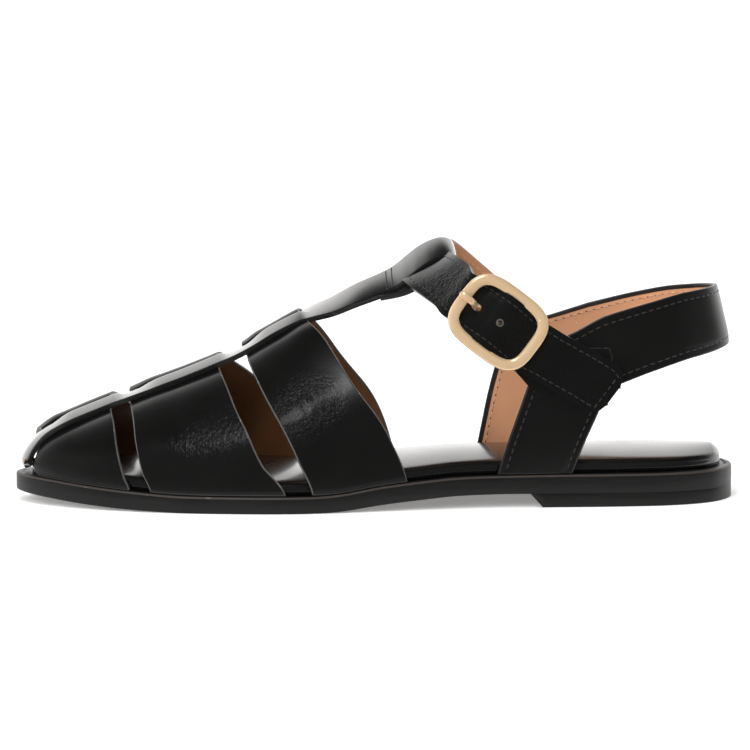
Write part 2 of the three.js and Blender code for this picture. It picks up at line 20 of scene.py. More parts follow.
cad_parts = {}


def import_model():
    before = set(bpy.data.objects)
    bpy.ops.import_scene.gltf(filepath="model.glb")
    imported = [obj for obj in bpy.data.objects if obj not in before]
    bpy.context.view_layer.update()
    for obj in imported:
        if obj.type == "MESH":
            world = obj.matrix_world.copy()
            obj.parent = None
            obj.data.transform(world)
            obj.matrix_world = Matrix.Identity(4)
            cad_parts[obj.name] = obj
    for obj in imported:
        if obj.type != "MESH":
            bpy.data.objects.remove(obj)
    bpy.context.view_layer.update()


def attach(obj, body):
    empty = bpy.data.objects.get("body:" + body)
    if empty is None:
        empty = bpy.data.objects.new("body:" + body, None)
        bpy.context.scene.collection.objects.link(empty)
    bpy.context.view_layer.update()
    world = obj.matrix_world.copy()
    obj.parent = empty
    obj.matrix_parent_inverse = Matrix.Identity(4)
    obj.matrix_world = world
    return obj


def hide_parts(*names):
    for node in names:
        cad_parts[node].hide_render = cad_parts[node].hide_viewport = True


LOG = logging.getLogger("sandal")
MM = 0.001
ORIGIN = 131.0  # the station of the frame's origin

Place = Callable[[float, float], Vector]
Lift = Callable[[float, float], float]


# ---------------------------------------------------------------- reading sizes
def lerp(a: float, b: float, t: float) -> float:
    """The value a share t of the way from a to b."""
    return a + (b - a) * t


def smooth(low: float, high: float, at: float) -> float:
    """A soft step.

    Args:
        low: Where the step starts; the value is 0 before it.
        high: Where the step ends; the value is 1 after it.
        at: Where to read it.

    Returns:
        The height of the step.
    """
    t = min(max((at - low) / (high - low), 0.0), 1.0)
    return t * t * (3 - 2 * t)


def bump(at: float, centre: float, half: float) -> float:
    """A soft hump of height 1 at centre that ends "half" away from it."""
    t = abs(at - centre) / half
    return 0.0 if t >= 1 else (1 - t * t) ** 2


def squared(value: float, power: float) -> float:
    """A sine or cosine drawn out by a power, its sign kept, for sections squarer than round."""
    return math.copysign(abs(value) ** power, value)


class Table:
    """Rows of sizes, read smoothly along one of the columns."""

    def __init__(self, names: str, *rows: Sequence[float]) -> None:
        """Keeps the rows by column.

        Args:
            names: Column names, the first being the usual key.
            *rows: One row per section, in the order of the key.
        """
        self.names = names.split()
        self.columns = {n: [float(r[i]) for r in rows] for i, n in enumerate(self.names)}
        self.columns["n"] = [float(i) for i in range(len(rows))]

    def last(self) -> int:
        """The number of the last row."""
        return len(self.columns["n"]) - 1

    def read(self, column: str, at: float, key: str = "") -> float:
        """Reads one column.

        Args:
            column: The column to read.
            at: The place along the key column.
            key: The key column, or the first one if empty.

        Returns:
            The value on a smooth curve through the rows.
        """
        keys = self.columns[key or self.names[0]]
        values = self.columns[column]
        last = len(keys) - 1
        x = min(max(at, keys[0]), keys[last])
        i = 0
        while i < last - 1 and keys[i + 1] <= x:
            i += 1

        def slope(k: int) -> float:
            """Slope of the curve at row k."""
            a, b = max(k - 1, 0), min(k + 1, last)
            return (values[b] - values[a]) / (keys[b] - keys[a])

        span = keys[i + 1] - keys[i]
        t = (x - keys[i]) / span
        rise = t * t * (3 - 2 * t)
        ends = values[i] * (1 - rise) + values[i + 1] * rise
        return ends + slope(i) * span * t * (1 - t) ** 2 - slope(i + 1) * span * t * t * (1 - t)


# ---------------------------------------------------------------- the last and the ankle
@dataclass
class Last:
    """The sole's outline and the last that the bands are pulled over.

    Attributes:
        length: Outsole, heel to toe.
        inset: Inner face of the bands, in from the outsole's edge.
        wall: Squareness of the last just above the sole.
        gap: How far above the outsole the bands' feet stop.
    """

    length: float = 262.0
    inset: float = 3.4
    wall: float = 0.8
    gap: float = 0.12
    plan: Table = field(default_factory=lambda: Table(
        "s outer inner",
        (0, 0, 0), (3, 12.5, 12.5), (10, 21.5, 21), (25, 28.5, 27.5), (45, 30.8, 29.3),
        (70, 31.3, 27.6), (95, 33, 25.2), (120, 37, 27), (145, 41.5, 33.5), (165, 43.5, 39),
        (188, 41.6, 43.5), (205, 38.6, 42.4), (222, 33.4, 38.2), (236, 27.2, 31.6),
        (248, 19.6, 23), (256, 12.4, 14.4), (260.4, 5.9, 6.6), (262, 0, 0)))
    profile: Table = field(default_factory=lambda: Table(
        "s rise thick",
        (0, 5, 6.9), (40, 5, 6.9), (78, 5, 6.8), (103, 4.7, 6.8), (115, 3.8, 6.8),
        (131, 2.3, 6.7), (146, 0.4, 6.3), (158, 0, 6.1), (200, 0, 6.2), (222, 0.7, 6.7),
        (237, 1.7, 6.9), (249, 2.8, 6.9), (262, 4, 6.5)))
    crest: Table = field(default_factory=lambda: Table(
        "s z y crown",
        (3.4, 11.9, 0, 1.2), (60, 60, -2, 1.8), (120, 82, -4.5, 1.9), (138, 74.2, -4.5, 1.9),
        (147, 70, -4.5, 1.9), (156.5, 65.2, -4.5, 1.85), (167.4, 58.8, -4.3, 1.8),
        (177.6, 52.9, -4, 1.75), (185, 48.9, -3.8, 1.7), (202, 42.2, -3.2, 1.55),
        (217, 37, -2.6, 1.45), (223, 34.8, -2.3, 1.4), (239, 28.6, -1.5, 1.3),
        (250, 24, -0.8, 1.2), (255, 20.2, -0.4, 1.1), (258, 15.2, -0.1, 1.05),
        (258.6, 10.8, 0, 1)))

    def __post_init__(self) -> None:
        """Adds the even spacing that both tables are read by."""
        self.plan.columns["turn"] = [self.turn_of(s, 0) for s in self.plan.columns["s"]]
        self.crest.columns["turn"] = [
            self.turn_of(s, self.inset) for s in self.crest.columns["s"]]

    def turn_of(self, s: float, inset: float) -> float:
        """The turn, 0 at the heel and 1 at the toe, of a station on an outline moved in."""
        share = 1 - 2 * (s - inset) / (self.length - 2 * inset)
        return math.acos(min(max(share, -1.0), 1.0)) / math.pi

    def station_of(self, turn: float, inset: float) -> float:
        """The station of a turn on an outline moved in by inset."""
        return inset + (self.length - 2 * inset) * (1 - math.cos(math.pi * turn)) / 2

    def bottom(self, s: float) -> float:
        """Height of the outsole's underside."""
        return max(self.profile.read("rise", s), 0.0)

    def top(self, s: float) -> float:
        """Height of the outsole's upper face."""
        return self.bottom(s) + self.profile.read("thick", s)

    def outline(self, turn: float, side: int, inset: float) -> tuple[float, float]:
        """A point of the sole's outline moved in square to itself.

        Args:
            turn: Place along the outline, 0 at the heel and 1 at the toe.
            side: 1 for the outer side and -1 for the inner.
            inset: How far it is moved in.

        Returns:
            Its station and its y.
        """
        column = "outer" if side > 0 else "inner"
        step = 1e-3
        low, high = max(turn - step, 0.0), min(turn + step, 1.0)
        ds = self.station_of(high, 0) - self.station_of(low, 0)
        dw = self.plan.read(column, high, "turn") - self.plan.read(column, low, "turn")
        if turn <= step or turn >= 1 - step:
            ds, dw = 0.0, (1.0 if turn < 0.5 else -1.0)
        size = math.hypot(ds, dw)
        y = max(self.plan.read(column, turn, "turn") - inset * ds / size, 0.0)
        return self.station_of(turn, 0) + inset * dw / size, side * y

    @staticmethod
    def at(s: float, y: float, z: float) -> Vector:
        """The point at a station, in millimetres of the model's frame."""
        return Vector((s - ORIGIN, y, z))

    def surface(self, turn: float, rnd: float) -> Vector:
        """A point of the last.

        Args:
            turn: Place along it, 0 at the heel and 1 at the toe.
            rnd: Place round it, from 1 at the outer edge over 0 at the crest to -1.

        Returns:
            The point in millimetres.
        """
        angle = abs(rnd) * math.pi / 2
        out, up = math.sin(angle), max(math.cos(angle), 0.0)
        power = self.crest.read("crown", turn, "turn") * up * up + self.wall * out * out
        fs, fy = self.outline(turn, -1 if rnd < 0 else 1, self.inset)
        cs, cy = self.station_of(turn, self.inset), self.crest.read("y", turn, "turn")
        low = self.top(fs) + self.gap
        high = self.crest.read("z", turn, "turn")
        return self.at(cs + (fs - cs) * out, cy + (fy - cy) * out,
                       low + (high - low) * up ** power)


@dataclass
class Ankle:
    """The wall round the heel and ankle that the back strap and the quarters lie on.

    Attributes:
        heel: Station of its rearmost point, for places told by station.
        mid: Station where the heel's arc becomes the straight side.
        front: Station where the wall ends.
    """

    heel: float = 3.0
    mid: float = 50.0
    front: float = 105.0
    wall: Table = field(default_factory=lambda: Table(
        "z back outerMid outerFront innerMid innerFront",
        (8, 4.6, 27.3, 29.4, 25.6, 21.4), (18, 4, 27.9, 29.8, 26.2, 22.2),
        (25, 3.6, 28.4, 30.2, 26.8, 22.8), (45, 3.1, 29.6, 31.4, 28.2, 25),
        (57, 3.1, 29.4, 31.2, 28.2, 26), (68, 5.4, 28, 29.6, 27, 25.6),
        (80, 8.4, 26, 26, 25, 23)))

    def surface(self, along: float, z: float) -> Vector:
        """A point of the wall.

        Args:
            along: Place round it: 0 at the back, 1 at the middle, 2 at the front; the inner
                side is negative.
            z: Height.

        Returns:
            The point in millimetres.
        """
        side = "inner" if along < 0 else "outer"
        back = self.wall.read("back", z)
        mid, front = self.wall.read(side + "Mid", z), self.wall.read(side + "Front", z)
        reach, sign = abs(along), math.copysign(1, along)
        if reach < 1:
            angle = reach * math.pi / 2
            s = back + (self.mid - back) * (1 - math.cos(angle))
            return Last.at(s, sign * mid * math.sin(angle), z)
        t = reach - 1
        y = mid + (front - mid) * t * t * (3 - 2 * t)
        return Last.at(self.mid + (self.front - self.mid) * t, sign * y, z)

    def along_of(self, s: float) -> float:
        """Place round the wall of a station on the outer side."""
        if s < self.mid:
            return math.acos(1 - (s - self.heel) / (self.mid - self.heel)) * 2 / math.pi
        return 1 + (s - self.mid) / (self.front - self.mid)


# ---------------------------------------------------------------- shader maths
class Value:
    """A socket of a node tree that takes part in Python sums."""

    def __init__(self, tree: Nodes, socket: bpy.types.NodeSocket) -> None:
        """Keeps the socket and the tree that makes its nodes."""
        self.tree = tree
        self.socket = socket

    def _sum(self, operation: str, first: Any, second: Any) -> Value:
        """Adds a Math node."""
        return self.tree.node("ShaderNodeMath", {"operation": operation}, {0: first, 1: second})

    def __add__(self, other: Any) -> Value:
        """self + other."""
        return self._sum("ADD", self, other)

    def __radd__(self, other: Any) -> Value:
        """other + self."""
        return self._sum("ADD", other, self)

    def __sub__(self, other: Any) -> Value:
        """self - other."""
        return self._sum("SUBTRACT", self, other)

    def __rsub__(self, other: Any) -> Value:
        """other - self."""
        return self._sum("SUBTRACT", other, self)

    def __mul__(self, other: Any) -> Value:
        """self * other."""
        return self._sum("MULTIPLY", self, other)

    def __rmul__(self, other: Any) -> Value:
        """other * self."""
        return self._sum("MULTIPLY", other, self)

    def largest(self, other: Any) -> Value:
        """The larger of self and other."""
        return self._sum("MAXIMUM", self, other)


class Nodes:
    """A node tree and the ways its nodes are made."""

    def __init__(self, tree: bpy.types.NodeTree) -> None:
        """Empties the tree."""
        self.tree = tree
        self.tree.nodes.clear()

    def node(self, kind: str, settings: Mapping[str, Any], inputs: Mapping[Any, Any],
             output: Any = 0) -> Value:
        """Makes one node.

        Args:
            kind: The node's type.
            settings: Its own settings, set before its sockets; "stops" fills a ramp.
            inputs: Socket name or number to a number, a colour, or a Value to link.
            output: Name or number of the output that is returned.

        Returns:
            The output as a Value.
        """
        made = self.tree.nodes.new(kind)
        for key, setting in settings.items():
            if key == "stops":
                self._ramp(made, setting)
            else:
                setattr(made, key, setting)
        for key, value in inputs.items():
            if isinstance(value, Value):
                self.tree.links.new(value.socket, made.inputs[key])
            else:
                made.inputs[key].default_value = value
        return Value(self, made.outputs[output])

    @staticmethod
    def _ramp(node: bpy.types.Node, stops: Sequence[tuple[float, float]]) -> None:
        """Fills a ramp with grey stops of (place, brightness)."""
        points = node.color_ramp.elements
        while len(points) < len(stops):
            points.new(0.5)
        for point, (place, grey) in zip(points, stops):
            point.position = place
            point.color = (grey, grey, grey, 1)

    def place(self, output: str = "Object") -> Value:
        """A coordinate of the piece: "Object" or "UV"."""
        return self.node("ShaderNodeTexCoord", {}, {}, output)

    def scaled(self, vector: Value, scale: Sequence[float],
               centre: Sequence[float] = (0, 0, 0)) -> Value:
        """A coordinate taken from a centre and stretched along its axes."""
        moved = self.node("ShaderNodeVectorMath", {"operation": "SUBTRACT"},
                          {0: vector, 1: tuple(centre)})
        return self.node("ShaderNodeVectorMath", {"operation": "MULTIPLY"},
                         {0: moved, 1: tuple(scale)})

    def noise(self, vector: Value, scale: float, detail: float = 2.0,
              distortion: float = 0.0) -> Value:
        """Cloudy noise between 0 and 1."""
        return self.node("ShaderNodeTexNoise", {},
                         {"Vector": vector, "Scale": scale, "Detail": detail,
                          "Distortion": distortion})

    def step(self, value: Value, low: float, high: float) -> Value:
        """0 where value is under low, 1 over high, soft between."""
        return self.node("ShaderNodeMapRange", {"interpolation_type": "SMOOTHSTEP"},
                         {"Value": value, "From Min": low, "From Max": high})

    def patch(self, centre: Sequence[float], radii: Sequence[float]) -> Value:
        """A soft spot: 1 at its centre, 0 outside its radii."""
        offset = self.scaled(self.place(), [1 / r for r in radii], centre)
        far = self.node("ShaderNodeVectorMath", {"operation": "LENGTH"}, {0: offset}, "Value")
        return 1 - self.step(far, 0.25, 1.0)

    def tint(self, share: Value, first: Sequence[float], second: Sequence[float]) -> Value:
        """A colour between two, by share."""
        return self.node("ShaderNodeMix", {"data_type": "RGBA"},
                         {"Factor": share, 6: (*first, 1), 7: (*second, 1)}, 2)

    def relief(self, height: Value, depth: float, strength: float = 1.0,
               under: Value | None = None) -> Value:
        """A bump from a height of 0 to 1 that stands "depth" metres proud."""
        inputs = {"Height": height, "Distance": depth, "Strength": strength}
        if under is not None:
            inputs["Normal"] = under
        return self.node("ShaderNodeBump", {}, inputs)

    def close(self, shader: Value, output: str) -> None:
        """Links a shader to the tree's output.

        Args:
            shader: The shader.
            output: The type of the output node.
        """
        out = self.tree.nodes.new(output)
        self.tree.links.new(shader.socket, out.inputs["Surface"])


class Shader(Nodes):
    """One material's node tree."""

    def __init__(self, name: str) -> None:
        """Starts an empty material."""
        self.material = bpy.data.materials.new(name)
        self.material.use_nodes = True
        super().__init__(self.material.node_tree)

    def finish(self, **sockets: Any) -> bpy.types.Material:
        """Closes the tree with a Principled shader.

        Args:
            **sockets: Socket names, with _ for a space, and their values.

        Returns:
            The finished material.
        """
        inputs = {name.replace("_", " "): value for name, value in sockets.items()}
        self.close(self.node("ShaderNodeBsdfPrincipled", {}, inputs), "ShaderNodeOutputMaterial")
        return self.material


# ---------------------------------------------------------------- finishes
@dataclass(frozen=True)
class CreasePatch:
    """A place where the leather is finely creased.

    Attributes:
        centre: Its middle, in metres of the model's frame.
        radii: Its half sizes.
        strength: How deep its creases are, 1 being the deepest.
        upright: Whether its creases run up and down rather than every way.
    """

    centre: tuple[float, float, float]
    radii: tuple[float, float, float]
    strength: float = 1.0
    upright: bool = True


@dataclass(frozen=True)
class Leather:
    """Polished black calf.

    Attributes:
        name: The material's name.
        colour: Its colour.
        roughness: Gloss where it is smooth.
        coat: Weight of the polish.
        shine: Specular level under the polish.
        grain: Depth of the fine grain, in metres.
        fine: Scale of its fine creases.
        broad: Scale of the broad ones between them.
        fold: Depth of the creases, in metres.
        patches: Where it is creased.
    """

    name: str
    colour: tuple[float, float, float] = (0.0024, 0.0023, 0.0022)
    roughness: float = 0.3
    coat: float = 0.06
    shine: float = 0.21
    grain: float = 0.00002
    fine: float = 1000.0
    broad: float = 430.0
    fold: float = 0.00055
    patches: tuple[CreasePatch, ...] = ()

    def folds(self, s: Shader, upright: bool) -> Value | None:
        """How deeply the leather is creased one way at each place."""
        mask = None
        for patch in self.patches:
            if patch.upright == upright:
                spot = s.patch(patch.centre, patch.radii) * patch.strength
                mask = spot if mask is None else mask.largest(spot)
        return mask

    def make(self) -> bpy.types.Material:
        """Builds the material."""
        s = Shader(self.name)
        at = s.place()
        cloud = s.noise(at, 60, 3)
        pores = s.noise(at, 1500, 2)
        pebble = s.node("ShaderNodeTexVoronoi", {"feature": "SMOOTH_F1"},
                        {"Vector": at, "Scale": 900.0, "Smoothness": 0.6}, "Distance")
        normal = s.relief(pebble * 0.6 + pores * 0.5, self.grain, 0.6)
        rough = cloud * 0.12 + (self.roughness - 0.06)
        for upright, stretch in ((True, (1.0, 0.7, 0.34)), (False, (1.0, 1.0, 0.9))):
            mask = self.folds(s, upright)
            if mask is not None:
                fine = s.noise(s.scaled(at, stretch), self.fine, 2, 0.6)
                broad = s.noise(s.scaled(at, stretch), self.broad, 1, 0.4)
                normal = s.relief((fine + broad * 0.6) * mask, self.fold, 1.0, normal)
                rough = rough + mask * 0.03
        worn = [c * 1.6 + 0.0006 for c in self.colour]
        return s.finish(Base_Color=s.tint(cloud, self.colour, worn), Roughness=rough,
                        Coat_Weight=self.coat, Coat_Roughness=0.12, Normal=normal,
                        Specular_IOR_Level=self.shine)


@dataclass(frozen=True)
class Lining:
    """Tan lining leather.

    Attributes:
        name: The material's name.
        colour: Its colour.
    """

    name: str
    colour: tuple[float, float, float] = (0.66, 0.335, 0.18)

    def make(self) -> bpy.types.Material:
        """Builds the material."""
        s = Shader(self.name)
        at = s.place()
        cloud = s.noise(at, 45, 4)
        fibre = s.noise(at, 900, 3)
        dark = [c * 0.72 for c in self.colour]
        normal = s.relief(fibre, 0.00006, 0.6)
        return s.finish(Base_Color=s.tint(cloud, dark, self.colour), Roughness=fibre * 0.2 + 0.42,
                        Specular_IOR_Level=0.35, Normal=normal)


@dataclass(frozen=True)
class EdgePaint:
    """Black dressing on a cut or folded edge.

    Attributes:
        name: The material's name.
        colour: Its colour.
        roughness: Its gloss.
    """

    name: str
    colour: tuple[float, float, float] = (0.012, 0.0118, 0.0115)
    roughness: float = 0.34

    def make(self) -> bpy.types.Material:
        """Builds the material."""
        s = Shader(self.name)
        at = s.place()
        wear = s.noise(at, 350, 3)
        normal = s.relief(s.noise(at, 1100, 2), 0.00005, 0.5)
        rubbed = [c * 3 for c in self.colour]
        return s.finish(Base_Color=s.tint(s.step(wear, 0.62, 0.8), self.colour, rubbed),
                        Roughness=wear * 0.2 + (self.roughness - 0.1), Specular_IOR_Level=0.5,
                        Normal=normal)


@dataclass(frozen=True)
class SoleEdge:
    """Stacked sole edge, dressed black, with fine lengthwise streaks.

    Attributes:
        name: The material's name.
        colour: Its colour.
        pale: Colour of its worn streaks.
    """

    name: str
    colour: tuple[float, float, float] = (0.004, 0.0039, 0.0038)
    pale: tuple[float, float, float] = (0.016, 0.0155, 0.015)

    def make(self) -> bpy.types.Material:
        """Builds the material."""
        s = Shader(self.name)
        at = s.place()
        streak = s.noise(s.scaled(at, (0.05, 0.05, 1.0)), 900, 3)
        cloud = s.noise(at, 40, 3)
        normal = s.relief(streak, 0.00008, 0.6)
        return s.finish(Base_Color=s.tint(streak * cloud, self.colour, self.pale),
                        Roughness=streak * 0.2 + cloud * 0.15 + 0.22, Specular_IOR_Level=0.22,
                        Normal=normal)


@dataclass(frozen=True)
class Plating:
    """Pale gold plating, brushed to a satin.

    Attributes:
        name: The material's name.
        colour: Its colour.
    """

    name: str
    colour: tuple[float, float, float] = (0.98, 0.715, 0.45)

    def make(self) -> bpy.types.Material:
        """Builds the material."""
        s = Shader(self.name)
        at = s.place()
        haze = s.noise(at, 160, 3)
        scratch = s.noise(s.scaled(at, (1.0, 1.0, 0.08)), 1600, 2)
        normal = s.relief(haze, 0.00003, 0.3)
        warm = [c * share for c, share in zip(self.colour, (0.94, 0.9, 0.84))]
        return s.finish(Base_Color=s.tint(haze, warm, self.colour), Metallic=0.63,
                        Roughness=haze * 0.07 + scratch * 0.04 + 0.2, Normal=normal)


@dataclass(frozen=True)
class Thread:
    """Waxed sewing thread.

    Attributes:
        name: The material's name.
        colour: Its colour.
    """

    name: str
    colour: tuple[float, float, float] = (0.026, 0.025, 0.024)

    def make(self) -> bpy.types.Material:
        """Builds the material."""
        s = Shader(self.name)
        ply = s.node("ShaderNodeTexWave", {"bands_direction": "DIAGONAL"},
                     {"Vector": s.place(), "Scale": 900.0, "Distortion": 2.0}, 1)
        return s.finish(Base_Color=s.tint(ply, [c * 0.6 for c in self.colour], self.colour),
                        Roughness=ply * 0.15 + 0.35, Normal=s.relief(ply, 0.00006, 0.7))


@dataclass(frozen=True)
class Cloth:
    """A matt studio sheet that shines a little by itself.

    Attributes:
        name: The material's name.
        glow: How bright it shines where nothing else lights it.
        grey: How pale it is.
    """

    name: str
    glow: float
    grey: float

    def make(self) -> bpy.types.Material:
        """Builds the material."""
        s = Shader(self.name)
        fibre = s.noise(s.place(), 30, 3)
        return s.finish(Base_Color=s.tint(fibre, [self.grey * 0.99] * 3, [self.grey * 1.01] * 3),
                        Roughness=0.9, Specular_IOR_Level=0.0, Emission_Strength=self.glow,
                        Emission_Color=(1.0, 0.985, 0.97, 1.0))


class Finish(Enum):
    """The finishes of the sandal, each made once."""

    BAND = Leather("band_leather", patches=(
        CreasePatch((0.0615, 0.038, 0.027), (0.02, 0.022, 0.017), 0.8),
        CreasePatch((0.052, 0.036, 0.034), (0.012, 0.02, 0.016), 0.6),
        CreasePatch((0.0275, 0.036, 0.036), (0.021, 0.024, 0.02), 0.8, False),
        CreasePatch((0.062, -0.036, 0.028), (0.018, 0.02, 0.016), 0.7),
        CreasePatch((0.028, -0.032, 0.038), (0.016, 0.022, 0.016), 0.7, False)))
    BAR = Leather("bar_leather", roughness=0.23, coat=0.95, shine=0.42)
    STRAP = Leather("strap_leather", roughness=0.26, coat=0.05, grain=0.00004, patches=(
        CreasePatch((-0.024, 0.022, 0.079), (0.013, 0.02, 0.012), 0.9, False),
        CreasePatch((-0.05, 0.036, 0.064), (0.014, 0.02, 0.012), 0.4, False)))
    QUARTER = Leather("quarter_leather", roughness=0.3, coat=0.12, grain=0.00003)
    FOOTBED = Leather("footbed_leather", roughness=0.25, coat=0.45, grain=0.00003)
    LINING = Lining("tan_lining")
    # The tan lining painted darker and browner: painted shade for the lining seen in the gaps
    # between and under the bands.
    BAND_LINING = Lining("band_lining_painted_shade", colour=(0.22, 0.1, 0.042))
    EDGE = EdgePaint("edge_dressing")
    # Grey edge colour: a painted highlight for the light that the bands' rounded edges and the
    # hole's ring catch.
    BAND_EDGE = EdgePaint("grey_edge_painted_highlight", colour=(0.07, 0.068, 0.066), roughness=0.4)
    SOLE = SoleEdge("sole_edge")
    # A paler colour on the outsole's rounded top edge: a painted highlight along it.
    WELT = EdgePaint("sole_top_edge_painted_highlight", colour=(0.035, 0.029, 0.025), roughness=0.5)
    TREAD = EdgePaint("tread", colour=(0.014, 0.0135, 0.013), roughness=0.6)
    GOLD = Plating("pale_gold")
    THREAD = Thread("black_thread")
    TAN_THREAD = Thread("tan_thread", colour=(0.72, 0.44, 0.28))
    # Black dots at the needle holes: painted shade for the shade inside the holes.
    PIT = EdgePaint("needle_hole", colour=(0.004, 0.003, 0.003), roughness=0.7)

    def material(self) -> bpy.types.Material:
        """The finish's material, made when it is first asked for."""
        found = bpy.data.materials.get(self.value.name)
        return found if found is not None else self.value.make()


# ---------------------------------------------------------------- making pieces
def settle(mesh: bmesh.types.BMesh, name: str, finishes: Sequence[Finish]) -> bpy.types.Object:
    """Turns a mesh in millimetres into a smooth-shaded object in metres.

    Args:
        mesh: The mesh, which is freed.
        name: The object's name.
        finishes: Its finishes, in the order of its faces' material numbers.

    Returns:
        The object, riding on the one body.
    """
    bmesh.ops.scale(mesh, vec=(MM, MM, MM), verts=mesh.verts)
    for face in mesh.faces:
        face.smooth = True
    data = bpy.data.meshes.new(name)
    mesh.to_mesh(data)
    mesh.free()
    for finish in finishes:
        data.materials.append(finish.material())
    piece = bpy.data.objects.new(name, data)
    bpy.context.scene.collection.objects.link(piece)
    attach(piece, "root")
    return piece


def bevel(piece: bpy.types.Object, width: float, segments: int = 3) -> None:
    """Rounds a leather piece's cut edges by width millimetres and dresses them."""
    rounding = piece.modifiers.new("rounded_edges", "BEVEL")
    rounding.width = width * MM
    rounding.segments = segments
    rounding.limit_method = "ANGLE"
    rounding.angle_limit = math.radians(42)
    rounding.material = 2


def report(piece: bpy.types.Object, slot: str, *nodes: str) -> bpy.types.Object:
    """Hides the CAD nodes that a piece stands for, and logs it."""
    if nodes:
        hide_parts(*nodes)
    LOG.info("%s: %d faces", piece.name, len(piece.data.polygons))
    return piece


@dataclass
class Sweep:
    """A closed skin on a grid whose columns go round a section.

    Attributes:
        name: The piece's name.
        place: The point in millimetres at (u, v): u along it, v round its section.
        rows: Faces along it.
        cols: Faces round it.
        finishes: Its finishes.
        pick: The number of the finish at (u, v), if it has several.
    """

    name: str
    place: Place
    rows: int
    cols: int
    finishes: Sequence[Finish]
    pick: Callable[[float, float], int] | None = None

    def mesh(self) -> bmesh.types.BMesh:
        """Builds the skin, with its doubles merged and its faces outward."""
        skin = bmesh.new()
        bmesh.ops.create_grid(skin, x_segments=self.rows, y_segments=self.cols, size=0.5)
        if self.pick is not None:
            for face in skin.faces:
                middle = face.calc_center_median()
                face.material_index = self.pick(middle.x + 0.5, middle.y + 0.5)
        for vertex in skin.verts:
            vertex.co = self.place(vertex.co.x + 0.5, vertex.co.y + 0.5)
        bmesh.ops.remove_doubles(skin, verts=skin.verts, dist=1e-4)
        bmesh.ops.dissolve_degenerate(skin, edges=skin.edges, dist=1e-5)
        bmesh.ops.recalc_face_normals(skin, faces=skin.faces)
        return skin

    def build(self) -> bpy.types.Object:
        """Builds the piece."""
        return settle(self.mesh(), self.name, self.finishes)


def ringed(section: Callable[[float], list[Vector]], count: int) -> Place:
    """The places of a skin given by its rings.

    Args:
        section: The ring at u, worked out once for each row.
        count: The points of a ring.

    Returns:
        The point at (u, v).
    """
    rings: dict[float, list[Vector]] = {}

    def place(u: float, v: float) -> Vector:
        """A point of the skin."""
        key = round(u, 6)
        if key not in rings:
            rings[key] = section(u)
        return rings[key][round(v * count) % count].copy()

    return place


